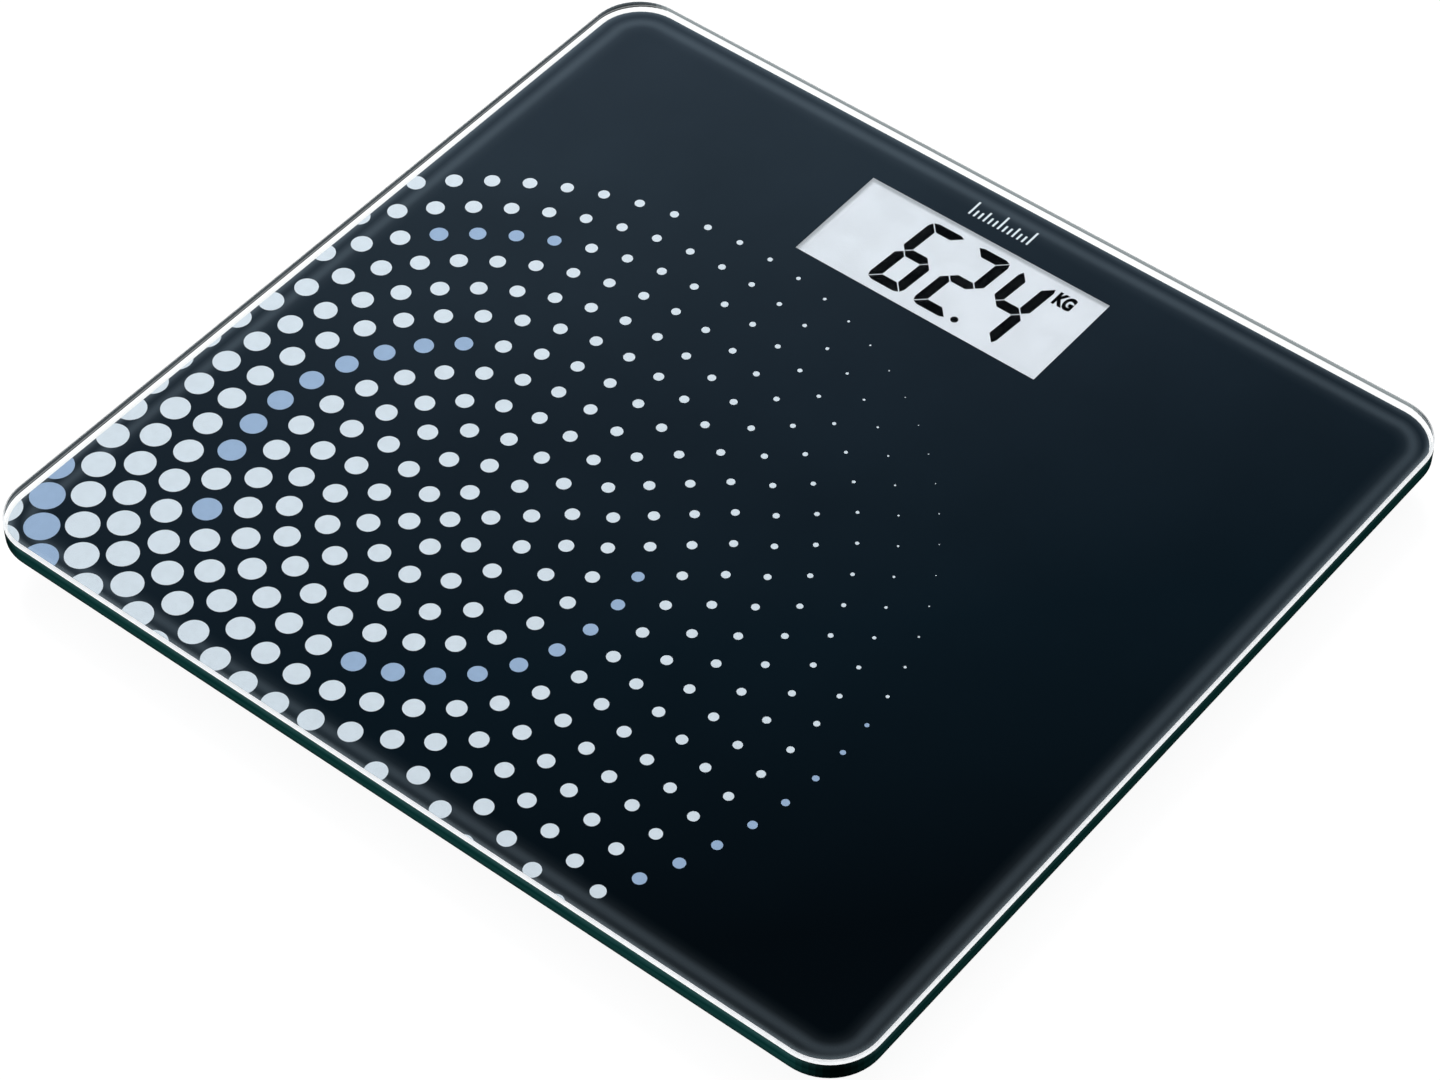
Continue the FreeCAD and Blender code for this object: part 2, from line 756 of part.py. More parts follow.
def build_lid():
    """The battery lid: a plate that ends in a knuckle, with a trunnion at each side."""
    lid = new_body("battery_lid")
    plate = rectangle("-lid_width / 2", "lid_width / 2", "lid_near_y", "lid_hinge_y")
    pad(lid, polygon_sketch(lid, plate, "cover_bottom"), "lid_thickness")
    knuckle = new_sketch(lid, "YZ_Plane", "-lid_width / 2")
    draw_circle(knuckle, "lid_knuckle_radius", "lid_hinge_y", "lid_hinge_z")
    pad(lid, knuckle, "lid_width")
    pin = new_sketch(lid, "YZ_Plane", "-lid_width / 2 - trunnion_length")
    draw_circle(pin, "trunnion_radius", "lid_hinge_y", "lid_hinge_z")
    pad(lid, pin, "lid_width + 2 * trunnion_length")
    for side in (-1, 1):
        rib_x = f"{side} * lid_rib_x"
        rib = rectangle(f"{rib_x} - lid_rib_half_width", f"{rib_x} + lid_rib_half_width",
                        "battery_y - lid_rib_half_length", "battery_y + lid_rib_half_length")
        pad(lid, polygon_sketch(lid, rib, "cover_bottom + lid_thickness"), "lid_rib_height")
        catch_x = f"{side} * catch_x"
        catch = rectangle(f"{catch_x} - catch_half_width", f"{catch_x} + catch_half_width",
                          "lid_near_y - catch_reach", "lid_near_y")
        pad(lid, polygon_sketch(lid, catch, "cover_bottom + catch_rise"), "catch_height")


def build_button():
    button = new_body("unit_button")
    revolve(button, [
        ("0", "button_bottom"),
        ("button_radius - button_edge", "button_bottom"),
        ("button_radius", "button_bottom + button_edge"),
        ("button_radius", "button_flange_bottom"),
        ("button_flange_radius", "button_flange_bottom"),
        ("button_flange_radius", "button_flange_bottom + button_flange_thickness"),
        ("0", "button_flange_bottom + button_flange_thickness"),
    ])
    place(button, "button_x", "button_y")

    flange_top = "button_flange_bottom + button_flange_thickness"
    keep(cylinder("switch_plunger", "button_x", "button_y", flange_top, "plunger_radius", "plunger_length"),
         "switch_plunger")
    height = "board_top - board_thickness - switch_bottom"
    case = box("switch_case", "button_x - switch_side / 2", "button_y - switch_side / 2", "switch_bottom",
               "switch_side", "switch_side", height)
    well = cylinder("switch_well", "button_x", "button_y", "switch_bottom", "switch_well_radius",
                    "switch_well_depth")
    keep(cut("unit_switch", case, well), "unit_switch")


# ---- Feet ------------------------------------------------------------------------------


def foot_turn(side_x, side_y):
    """Turns a foot so that its own -Y side, where the gauge's wires leave, faces the display."""
    name = "rear_turn" if side_y > 0 else "front_turn"
    return f"{-side_x} * {name}"


def place_foot(thing, side_x, side_y):
    return place(thing, f"{side_x} * foot_x", f"{side_y} * foot_y", turn=foot_turn(side_x, side_y))


def build_foot_housing(name):
    """A round plastic cup, open below, with a rib for the cell to bear on and two snap hooks."""
    housing = new_body("foot_housing_" + name)
    plate_bottom = "foot_top - foot_plate"
    inner = "foot_radius - foot_skirt"
    revolve(housing, [
        ("0", plate_bottom),
        (inner, plate_bottom),
        (inner, "foot_bottom"),
        ("foot_radius - foot_edge", "foot_bottom"),
        ("foot_radius", "foot_bottom + foot_edge"),
        ("foot_radius", "foot_top"),
        ("0", "foot_top"),
    ])
    cell_top = "cell_bottom + cell_thickness"
    bar = rectangle("-cell_half_width", "cell_half_width", "cell_near_y", "cell_far_y")
    rib = polygon_sketch(housing, bar, cell_top)
    draw_polygon(rib, rectangle("-slot_half_width - rib_margin", "slot_half_width + rib_margin",
                                "slot_near_y - rib_margin", "slot_far_y + rib_margin"))
    pad(housing, rib, f"{plate_bottom} - ({cell_top})")
    span = ("hook_y - hook_width / 2", "hook_y + hook_width / 2")
    for side in (-1, 1):
        inside = f"{side} * (cell_half_width + hook_play)"
        outside = f"{side} * (cell_half_width + hook_play + hook_thickness)"
        tip = f"{side} * (cell_half_width + hook_play - hook_lip)"
        post = rectangle(*sorted((inside, outside), key=value), *span)
        pad(housing, polygon_sketch(housing, post, "hook_bottom"), f"{plate_bottom} - hook_bottom")
        lip = polygon_sketch(housing, rectangle(*sorted((tip, outside), key=value), *span), "hook_bottom")
        pad(housing, lip, "cell_bottom - hook_clearance - hook_bottom")
    gap = rectangle("-rear_loom_gap_half_width", "rear_loom_gap_half_width", "-foot_radius - overcut",
                    "slot_near_y + overcut")
    pocket(housing, polygon_sketch(housing, gap, "loom_gap_bottom"), f"{plate_bottom} - loom_gap_bottom")
    return housing


def build_load_cell(name):
    """A stamped steel plate: a frame around a T-shaped tongue, which the foot's disc pushes on."""
    cell = new_body("load_cell_" + name)
    outline = rectangle("-cell_half_width", "cell_half_width", "cell_near_y", "cell_far_y")
    blank = pad(cell, polygon_sketch(cell, outline, "cell_bottom"), "cell_thickness")
    round_edges(cell, blank, is_upright, "cell_corner")
    slot = [
        ("-slot_half_width", "slot_near_y"),
        ("-neck_half_width", "slot_near_y"),
        ("-neck_half_width", "-head_half_depth"),
        ("-head_half_width", "-head_half_depth"),
        ("-head_half_width", "head_half_depth"),
        ("head_half_width", "head_half_depth"),
        ("head_half_width", "-head_half_depth"),
        ("neck_half_width", "-head_half_depth"),
        ("neck_half_width", "slot_near_y"),
        ("slot_half_width", "slot_near_y"),
        ("slot_half_width", "slot_far_y"),
        ("-slot_half_width", "slot_far_y"),
    ]
    pocket(cell, polygon_sketch(cell, slot, "cell_bottom"), "cell_thickness")
    pocket(cell, circle_sketch(cell, "spigot_hole_radius", "cell_bottom"), "cell_thickness")
    return cell


def build_gauge(name):
    gauge = new_body("strain_gauge_" + name)
    outline = rectangle("-gauge_width / 2", "gauge_width / 2", "gauge_near_y", "gauge_near_y + gauge_length")
    pad(gauge, polygon_sketch(gauge, outline, "cell_bottom + cell_thickness"), "gauge_thickness")
    return gauge


def build_foot_disc(name):
    """The moving foot: a ribbed dish with a boss under the tongue and a spigot riveted over it."""
    disc = new_body("foot_disc_" + name)
    pad_seat = "pad_radius + pad_gap"
    revolve(disc, [
        ("0", "pad_top"),
        (pad_seat, "pad_top"),
        (pad_seat, "disc_bottom"),
        ("disc_radius - disc_edge", "disc_bottom"),
        ("disc_radius", "disc_bottom + disc_edge"),
        ("disc_radius", "disc_rim_top"),
        ("disc_radius - disc_rim", "disc_rim_top"),
        ("disc_radius - disc_rim", "disc_floor"),
        ("boss_radius", "disc_floor"),
        ("boss_radius", "cell_bottom"),
        ("spigot_radius", "cell_bottom"),
        ("spigot_radius", "rivet_bottom"),
        ("rivet_radius", "rivet_bottom"),
        ("rivet_radius", "rivet_bottom + rivet_side"),
        ("rivet_radius - rivet_crown", "rivet_top"),
        ("0", "rivet_top"),
    ])
    rib = rectangle("boss_radius - disc_rib_root", "disc_radius - disc_rim + disc_rib_root",
                    "-disc_rib_width / 2", "disc_rib_width / 2")
    rib_bottom = "disc_floor - disc_rib_root"
    spoke = pad(disc, polygon_sketch(disc, rib, rib_bottom), f"disc_rib_top - ({rib_bottom})")
    repeat_round(disc, spoke, "disc_ribs")
    return disc


def build_pad(name):
    """The rubber pad, with two round grooves in the face that meets the floor."""
    rubber = new_body("rubber_pad_" + name)
    profile = [("0", "0")]
    for radius in ("inner_groove_radius", "outer_groove_radius"):
        profile += [
            (radius, "0"),
            (radius, "pad_groove_depth"),
            (f"{radius} + pad_groove_width", "pad_groove_depth"),
            (f"{radius} + pad_groove_width", "0"),
        ]
    profile += [
        ("pad_radius - pad_edge", "0"),
        ("pad_radius", "pad_edge"),
        ("pad_radius", "pad_top"),
        ("0", "pad_top"),
    ]
    revolve(rubber, profile)
    return rubber


def build_duct(name, end):
    """A channel over the loom, open towards the glass."""
    duct = new_body("cable_duct_" + name)
    outer = rectangle("-duct_half_width", "duct_half_width", f"-{end}", "-duct_start")
    pad(duct, polygon_sketch(duct, outer, "duct_bottom"), "print_bottom - duct_bottom")
    inner = rectangle("-duct_half_width + duct_wall", "duct_half_width - duct_wall", f"-{end} - overcut",
                      "-duct_start + overcut")
    channel = polygon_sketch(duct, inner, "duct_bottom + duct_floor")
    pocket(duct, channel, "print_bottom - duct_bottom - duct_floor")
    return duct


def bent_path(points, radius):
    """A path of straight runs with an arc of this radius at each corner between them."""
    edges = []
    start = points[0]
    for before, corner, after in zip(points, points[1:], points[2:]):
        back = (before - corner).normalize()
        ahead = (after - corner).normalize()
        half_turn = (math.pi - back.getAngle(ahead)) / 2
        reach = radius * math.tan(half_turn)
        arc_start = corner + back * reach
        arc_end = corner + ahead * reach
        inward = (back + ahead).normalize()
        centre_distance = radius / math.cos(half_turn)
        arc_middle = corner + inward * (centre_distance - radius)
        edges.append(Part.LineSegment(start, arc_start).toShape())
        edges.append(Part.Arc(arc_start, arc_middle, arc_end).toShape())
        start = arc_end
    edges.append(Part.LineSegment(start, points[-1]).toShape())
    return Part.Wire(edges)


def build_loom(name, drop_start, wire_end):
    """Three wires side by side, from the gauge to their pads on the board."""
    radius = value("wire_radius")
    high = value("wire_height")
    low = value("wire_end_height")
    drop = value(drop_start)
    wires = []
    for lane in (-1, 0, 1):
        x = lane * value("wire_pitch")
        points = [
            FreeCAD.Vector(x, -value("wire_start"), high),
            FreeCAD.Vector(x, -drop, high),
            FreeCAD.Vector(x, -drop - value("wire_drop_run"), low),
            FreeCAD.Vector(x, -value(wire_end), low),
        ]
        path = bent_path(points, value("wire_bend"))
        section = Part.Wire(Part.makeCircle(radius, points[0], FreeCAD.Vector(0, 1, 0)))
        wire = path.makePipeShell([section], True, False)
        expected = math.pi * radius**2 * path.Length
        if abs(wire.Volume - expected) > 0.01 * expected:
            raise RuntimeError(f"wire {name} has the wrong volume")
        wires.append(wire)
    loom = doc.addObject("Part::Feature", "wire_loom_" + name)
    loom.Shape = Part.makeCompound(wires)
    keep(loom, "wire_loom_" + name)
    return loom


def build_feet():
    adhesive_rings = []
    for name, side_x, side_y in FEET:
        row = "rear" if side_y > 0 else "front"
        pieces = [
            build_foot_housing(name),
            build_load_cell(name),
            build_gauge(name),
            build_foot_disc(name),
            build_pad(name),
            build_duct(name, row + "_duct_end"),
            build_loom(name, row + "_drop_start", row + "_wire_end"),
        ]
        for piece in pieces:
            place_foot(piece, side_x, side_y)

        where = (f"{side_x} * foot_x", f"{side_y} * foot_y", "foot_top")
        thickness = "print_bottom - foot_top"
        whole = cylinder("adhesive_disc_" + name, *where, "foot_radius", thickness)
        centre = cylinder("adhesive_hole_" + name, *where, "foot_adhesive_inner", thickness)
        adhesive_rings.append(cut("adhesive_ring_" + name, whole, centre))
    group("foot_adhesive", adhesive_rings)


# ---- Checks and files ------------------------------------------------------------------


def check_document():
    doc.recompute()
    failed = [thing.Label for thing in doc.Objects if {"Invalid", "Error"} & set(thing.State)]
    if failed:
        raise RuntimeError("failed objects: " + ", ".join(failed))
    for node in nodes:
        if node.Shape.isNull() or not node.Shape.isValid():
            raise RuntimeError(node.Label + " has no valid shape")


def write_files():
    os.makedirs("parts", exist_ok=True)
    for node in nodes:
        node.Shape.exportStep(f"parts/{node.Label}.step")
        box_of_node = node.Shape.BoundBox
        print(f"{node.Label:28s} {len(node.Shape.Solids)} solids  {node.Shape.Volume:10.1f} mm3"
              f"  z {box_of_node.ZMin:6.2f} to {box_of_node.ZMax:6.2f}")
    print(len(nodes), "nodes")


fill_sheet()
build_platform()
build_shell()
build_cover()
build_screws()
build_lcd()
build_board()
build_battery()
build_lid()
build_button()
build_feet()
check_document()
write_files()
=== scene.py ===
import math

import bmesh
import bpy
from mathutils import Matrix, Vector


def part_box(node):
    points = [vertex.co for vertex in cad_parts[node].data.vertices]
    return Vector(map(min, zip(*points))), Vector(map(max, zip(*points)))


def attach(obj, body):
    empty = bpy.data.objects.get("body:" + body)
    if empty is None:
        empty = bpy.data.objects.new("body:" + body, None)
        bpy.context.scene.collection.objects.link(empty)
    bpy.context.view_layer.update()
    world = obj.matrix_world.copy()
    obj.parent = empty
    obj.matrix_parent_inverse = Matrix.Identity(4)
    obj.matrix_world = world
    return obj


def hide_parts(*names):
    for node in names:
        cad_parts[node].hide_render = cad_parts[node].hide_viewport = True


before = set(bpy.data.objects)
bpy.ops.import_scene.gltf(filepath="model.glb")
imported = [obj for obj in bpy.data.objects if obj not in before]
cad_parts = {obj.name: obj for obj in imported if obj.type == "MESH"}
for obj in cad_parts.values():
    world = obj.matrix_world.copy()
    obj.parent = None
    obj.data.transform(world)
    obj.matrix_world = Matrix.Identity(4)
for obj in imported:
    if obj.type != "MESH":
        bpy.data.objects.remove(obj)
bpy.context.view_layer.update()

# Looks of a digital bathroom scale: a clear glass platform over a dark print with rings of
# dots, a window with a liquid crystal display, and the feet and display box underneath.
# Lengths in the tables and functions below are in millimetres; meshes are made in metres.

MM = 0.001

# ---- Sizes read from the frame ----------------------------------------------------------


def box_mm(node):
    low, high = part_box(node)
    return low / MM, high / MM


GLASS_LOW, GLASS_HIGH = box_mm("glass_platform")
PRINT_LOW, PRINT_HIGH = box_mm("printed_film")
GLASS_WIDTH = GLASS_HIGH.x - GLASS_LOW.x
GLASS_DEPTH = GLASS_HIGH.y - GLASS_LOW.y
GLASS_CORNER = 17.0
GLASS_BEVEL = 0.7
PRINT_WIDTH = PRINT_HIGH.x - PRINT_LOW.x
PRINT_DEPTH = PRINT_HIGH.y - PRINT_LOW.y
PRINT_CORNER = 15.8


def in_scene(name, data):
    """A new object in the scene, made of this data."""
    thing = bpy.data.objects.new(name, data)
    bpy.context.scene.collection.objects.link(thing)
    return thing


# ---- Camera -----------------------------------------------------------------------------

CAMERA_AIM = Vector((0.0153, -0.0210, 0.0221))
CAMERA_DISTANCE = 1.2377
CAMERA_AZIMUTH = math.radians(38.9)
CAMERA_ELEVATION = math.radians(48.384)
CAMERA_ROLL = math.radians(-0.27)
CAMERA_LENS = 106.5
CAMERA_SENSOR = 36.0


def build_camera():
    away = Vector((
        math.sin(CAMERA_AZIMUTH) * math.cos(CAMERA_ELEVATION),
        -math.cos(CAMERA_AZIMUTH) * math.cos(CAMERA_ELEVATION),
        math.sin(CAMERA_ELEVATION),
    ))
    data = bpy.data.cameras.new("camera")
    data.lens = CAMERA_LENS
    data.sensor_width = CAMERA_SENSOR
    data.clip_start = 0.05
    data.clip_end = 20.0
    camera = in_scene("camera", data)
    camera.location = CAMERA_AIM + away * CAMERA_DISTANCE
    facing = (-away).to_track_quat("-Z", "Y").to_matrix().to_4x4()
    camera.rotation_mode = "QUATERNION"
    camera.rotation_quaternion = (facing @ Matrix.Rotation(CAMERA_ROLL, 4, "Z")).to_quaternion()
    bpy.context.scene.camera = camera


# ---- Node helpers -----------------------------------------------------------------------


class Nodes:
    """A small helper that adds and joins the nodes of one tree."""

    def __init__(self, tree):
        self.tree = tree
        tree.nodes.clear()

    def add(self, kind, inputs=None, **settings):
        node = self.tree.nodes.new(kind)
        for name, setting in settings.items():
            setattr(node, name, setting)
        for name, source in (inputs or {}).items():
            if isinstance(source, bpy.types.NodeSocket):
                self.tree.links.new(source, node.inputs[name])
            else:
                node.inputs[name].default_value = source
        return node

    def place(self):
        """Where a point is on the object, in metres."""
        return self.add("ShaderNodeTexCoord").outputs["Object"]

    def facing(self):
        """The direction in which a face of the mesh turns."""
        return self.add("ShaderNodeNewGeometry").outputs["True Normal"]

    def parts(self, vector):
        return self.add("ShaderNodeSeparateXYZ", {"Vector": vector}).outputs

    def ramp(self, factor, stops, smooth=True):
        """Colours along a factor; each stop is a position and a colour of three or four values."""
        node = self.add("ShaderNodeValToRGB", {"Fac": factor})
        band = node.color_ramp
        band.interpolation = "EASE" if smooth else "LINEAR"
        while len(band.elements) < len(stops):
            band.elements.new(1.0)
        for element, (position, colour) in zip(band.elements, stops):
            element.position = position
            element.color = (*colour, 1.0) if len(colour) == 3 else colour
        return node.outputs["Color"]

    def noise(self, vector, scale, detail=3.0, roughness=0.5):
        node = self.add("ShaderNodeTexNoise", {"Vector": vector, "Scale": scale, "Detail": detail,
                                               "Roughness": roughness})
        return node.outputs["Fac"]

    def stretch(self, vector, scales):
        return self.add("ShaderNodeMapping", {"Vector": vector, "Scale": scales}).outputs["Vector"]

    def remap(self, value, from_low, from_high, low=0.0, high=1.0):
        """Maps a value from one range to another, and keeps it inside."""
        node = self.add("ShaderNodeMapRange", {"Value": value, "From Min": from_low, "From Max": from_high,
                                               "To Min": low, "To Max": high})
        return node.outputs["Result"]

    def spread(self, value, low, high):
        """Maps a noise value, which stays near a half, to the whole range from low to high."""
        return self.remap(value, 0.3, 0.7, low, high)

    def bump(self, height, strength, distance):
        node = self.add("ShaderNodeBump", {"Height": height, "Strength": strength, "Distance": distance})
        return node.outputs["Normal"]

    def vectors(self, operation, a, b=(0.0, 0.0, 0.0)):
        return self.add("ShaderNodeVectorMath", {0: a, 1: b}, operation=operation).outputs

    def scaled(self, colour, factor):
        """A colour times a factor, either of which may be a socket."""
        node = self.add("ShaderNodeVectorMath", {0: colour, "Scale": factor}, operation="SCALE")
        return node.outputs["Vector"]

    def mixed(self, factor, a, b):
        node = self.add("ShaderNodeMix", {"Factor": factor, 6: a, 7: b}, data_type="RGBA")
        return node.outputs[2]

    def maths(self, operation, a, b=0.0):
        return self.add("ShaderNodeMath", {0: a, 1: b}, operation=operation).outputs["Value"]

    def principled(self, inputs):
        return self.add("ShaderNodeBsdfPrincipled", inputs).outputs["BSDF"]

    def diffuse(self, colour):
        return self.add("ShaderNodeBsdfDiffuse", {"Color": colour}).outputs["BSDF"]

    def emission(self, colour, strength):
        return self.add("ShaderNodeEmission", {"Color": colour, "Strength": strength}).outputs["Emission"]

    def clear(self, colour=(1.0, 1.0, 1.0, 1.0)):
        return self.add("ShaderNodeBsdfTransparent", {"Color": colour}).outputs["BSDF"]

    def shaders_added(self, a, b):
        return self.add("ShaderNodeAddShader", {0: a, 1: b}).outputs["Shader"]

    def shaders_mixed(self, factor, a, b):
        return self.add("ShaderNodeMixShader", {"Fac": factor, 1: a, 2: b}).outputs["Shader"]

    def finish(self, shader, kind="Material"):
        self.add("ShaderNodeOutput" + kind, {"Surface": shader})


def new_material(name):
    material = bpy.data.materials.new(name)
    material.use_nodes = True
    return material, Nodes(material.node_tree)


def shade(colour, factor):
    return tuple(min(1.0, channel * factor) for channel in colour)


def surface(name, colour, roughness, variation=0.12, blotch=60.0, grain=900.0, bump=0.1,
            metallic=0.0, specular=0.5, stretched=(1.0, 1.0, 1.0), coat=0.0, depth=0.00005, painted_glow=0.0):
    """A procedural surface: blotchy colour, uneven roughness and fine grain as bump, and a painted glow in
    its own colour when asked for.
    """
    material, nodes = new_material(name)
    place = nodes.stretch(nodes.place(), stretched)
    blotches = nodes.noise(place, blotch, 4.0, 0.6)
    grains = nodes.noise(place, grain, 2.0, 0.6)
    base = nodes.ramp(blotches, [(0.3, shade(colour, 1 - variation)), (0.7, shade(colour, 1 + variation))])
    patches = nodes.noise(place, blotch * 3.1, 3.0)
    uneven = nodes.spread(patches, roughness * 0.85, min(1.0, roughness * 1.15))
    nodes.finish(nodes.principled({
        "Base Color": base, "Roughness": uneven, "Metallic": metallic, "Specular IOR Level": specular,
        "Coat Weight": coat, "Normal": nodes.bump(grains, bump, depth), "Emission Color": base,
        "Emission Strength": painted_glow,
    }))
    return material


# ---- Stage: world, lights and floor -----------------------------------------------------

# Sky colours by the sine of the elevation: bright at the horizon and overhead, and dark in
# the stretch from 0.60 to 0.84, which the flat glass mirrors to the camera.
SKY = [
    (0.00, (1.0, 1.0, 1.0)),
    (0.10, (0.98, 0.99, 1.0)),
    (0.17, (0.13, 0.145, 0.165)),
    (0.48, (0.10, 0.12, 0.145)),
    (0.60, (0.020, 0.026, 0.032)),
    (0.84, (0.006, 0.009, 0.012)),
    (0.88, (0.05, 0.05, 0.06)),
    (0.93, (0.95, 0.97, 1.0)),
    (1.00, (1.05, 1.05, 1.05)),
]


def build_world():
    world = bpy.data.worlds.new("studio")
    bpy.context.scene.world = world
    world.use_nodes = True
    nodes = Nodes(world.node_tree)
    direction = nodes.add("ShaderNodeTexCoord").outputs["Generated"]
    sky = nodes.ramp(nodes.parts(direction)["Z"], SKY, smooth=False)
    background = nodes.add("ShaderNodeBackground", {"Color": sky, "Strength": 1.0})
    nodes.finish(background.outputs["Background"], kind="World")


# Square lights over the object: name, place, width and power.
LIGHTS = [
    ("key_light", (-0.9, 0.9, 1.3), 0.9, 28.0),
    ("fill_light", (0.6, -1.2, 1.3), 1.2, 5.0),
]


def area_light(name, place, width, power):
    """A soft square light that points at the object and that mirrors don't show."""
    data = bpy.data.lights.new(name, "AREA")
    data.shape = "SQUARE"
    data.size = width
    data.energy = power
    light = in_scene(name, data)
    light.location = place
    light.rotation_mode = "QUATERNION"
    light.rotation_quaternion = (-Vector(place)).to_track_quat("-Z", "Y")
    light.visible_glossy = False
    light.visible_transmission = False


FLOOR_HALF = 6.0
FLOOR_GLOW = 0.93


def floor_material():
    """Pale paper with a glow of its own, clear from below so that the underside can be looked at."""
    material, nodes = new_material("floor_paper")
    tones = [(0.3, (0.15, 0.15, 0.15)), (0.7, (0.17, 0.17, 0.17))]
    mottle = nodes.ramp(nodes.noise(nodes.place(), 3.0, 2.0), tones)
    paper = nodes.shaders_added(nodes.diffuse(mottle), nodes.emission((1, 1, 1, 1), FLOOR_GLOW))
    below = nodes.add("ShaderNodeNewGeometry").outputs["Backfacing"]
    nodes.finish(nodes.shaders_mixed(below, paper, nodes.clear()))
    return material


def build_stage():
    build_world()
    for light in LIGHTS:
        area_light(*light)
    mesh = bpy.data.meshes.new("floor")
    corners = [(x * FLOOR_HALF, y * FLOOR_HALF, 0) for x, y in ((-1, -1), (1, -1), (1, 1), (-1, 1))]
    mesh.from_pydata(corners, [], [(0, 1, 2, 3)])
    floor = in_scene("floor", mesh)
    floor.data.materials.append(floor_material())


# ---- Mesh helpers -----------------------------------------------------------------------

CORNER_STEPS = 14
CIRCLE_STEPS = 40


def outline(offset, width=GLASS_WIDTH, depth=GLASS_DEPTH, corner=GLASS_CORNER):
    """Points of a rounded rectangle, this far inside the full one, anticlockwise."""
    radius = corner - offset
    x = width / 2 - corner
    y = depth / 2 - corner
    points = []
    for turn, (side_x, side_y) in enumerate([(1, 1), (-1, 1), (-1, -1), (1, -1)]):
        centre = Vector((side_x * x, side_y * y))
        for step in range(CORNER_STEPS + 1):
            angle = math.pi / 2 * (turn + step / CORNER_STEPS)
            points.append(centre + radius * Vector((math.cos(angle), math.sin(angle))))
    return points


def circle(x, y, radius):
    angles = [2 * math.pi * step / CIRCLE_STEPS for step in range(CIRCLE_STEPS)]
    return [Vector((x + radius * math.cos(angle), y + radius * math.sin(angle))) for angle in angles]


def object_from_bmesh(name, work, *materials):
    mesh = bpy.data.meshes.new(name)
    work.to_mesh(mesh)
    work.free()
    for material in materials:
        mesh.materials.append(material)
    return in_scene(name, mesh)


def add_ring(work, points, height):
    return [work.verts.new((p.x * MM, p.y * MM, height * MM)) for p in points]


def bridge(work, lower, upper, slot=0):
    count = len(lower)
    for i in range(count):
        following = (i + 1) % count
        face = work.faces.new((lower[i], lower[following], upper[following], upper[i]))
        face.material_index = slot


def rounded_slab(name, sections, material):
    """A closed slab through rings; each section is an inward offset and a height, from below."""
    work = bmesh.new()
    rings = [add_ring(work, outline(offset), height) for offset, height in sections]
    for lower, upper in zip(rings, rings[1:]):
        bridge(work, lower, upper)
    work.faces.new(list(reversed(rings[0])))
    work.faces.new(rings[-1])
    return object_from_bmesh(name, work, material)


def prism(work, points, low, high):
    """A closed solid between two heights over an anticlockwise outline."""
    bottom = add_ring(work, points, low)
    top = add_ring(work, points, high)
    bridge(work, bottom, top)
    work.faces.new(list(reversed(bottom)))
    work.faces.new(top)


# ---- Glass ------------------------------------------------------------------------------

# The rim's ground skin is this thick, and the clear body of the glass ends halfway into it.
SKIN = 0.06
SKIN_PULL = 0.4 * SKIN

# The bevel under the rim is narrower than the crown.
LOWER_BEVEL = 0.45

# A small cut between the lower bevel and the wall, this deep and this far up the wall.
EDGE_CUT = 0.075
EDGE_RISE = 0.10

# How far the body's foot draws in over the print, how deep it takes the print in, and the
# small lip inside the rim's top.
FOOT_INSET = 0.10
PRINT_BITE = 0.02
LIP = 0.04

# The crown between the flat top and the side wall: inward offset and depth below the top.
CROWN = [(0.0, 1.45), (0.06, 0.95), (0.22, 0.42), (GLASS_BEVEL, 0.0)]


# The ground bevel and crown get a painted highlight where they turn this way, to the front and right.
HIGHLIGHT_SIDE = (0.63, -0.78, 0.0)


def glass_material():
    """Clear glass with a slight green tint and the faint waves of a tempered sheet."""
    material, nodes = new_material("clear_glass")
    place = nodes.place()
    haze = nodes.spread(nodes.noise(place, 40.0, 3.0), 0.0, 0.012)
    tints = [(0.3, (0.965, 0.985, 0.985)), (0.7, (0.985, 0.995, 0.995))]
    tint = nodes.ramp(nodes.noise(place, 9.0), tints)
    nodes.finish(nodes.principled({
        "Base Color": tint, "Roughness": haze, "IOR": 1.52, "Transmission Weight": 1.0,
        "Normal": nodes.bump(nodes.noise(place, 14.0, 1.0), 0.03, 0.0003),
    }))
    return material


def bevel_material():
    """Ground glass with painted light: a painted highlight where it turns to the front and right, painted
    shade on the far sides, and a faint painted glow.
    """
    material, nodes = new_material("ground_bevel_painted_highlight")
    place = nodes.place()
    whites = [(0.3, (0.86, 0.88, 0.89)), (0.7, (0.96, 0.97, 0.98))]
    frost = nodes.ramp(nodes.noise(place, 700.0, 3.0), whites)
    # Painted light: the frost's tone runs from painted shade on the far sides to a painted highlight on
    # the front and right, and it glows a little in that tone.
    turned = nodes.vectors("DOT_PRODUCT", nodes.facing(), HIGHLIGHT_SIDE)["Value"]
    tone = nodes.scaled(frost, nodes.remap(turned, -0.35, 0.20, 0.02, 1.0))
    nodes.finish(nodes.principled({
        "Base Color": tone, "Roughness": nodes.spread(nodes.noise(place, 300.0), 0.25, 0.4),
        "Specular IOR Level": 0.3, "Normal": nodes.bump(nodes.noise(place, 4000.0), 0.08, 0.00002),
        "Emission Color": tone, "Emission Strength": 0.32,
    }))
    return material


def wall_level(nodes, place):
    """How far up the side of the glass a place is, from 0 at its foot to 1 under the crown."""
    low = (GLASS_LOW.z + LOWER_BEVEL) * MM
    high = (GLASS_HIGH.z - CROWN[0][1]) * MM
    return nodes.remap(nodes.parts(place)["Z"], low, high)


def facing_parts(nodes):
    """How far a face turns to the left or right, and how far to the front or rear."""
    parts = nodes.parts(nodes.facing())
    return nodes.maths("ABSOLUTE", parts["X"]), nodes.maths("ABSOLUTE", parts["Y"])


# Painted shade: how much darker the wall is painted on the left and right, and in the corners.
SIDE_PAINTED_SHADE = 0.45
CORNER_PAINTED_SHADE = 1.9


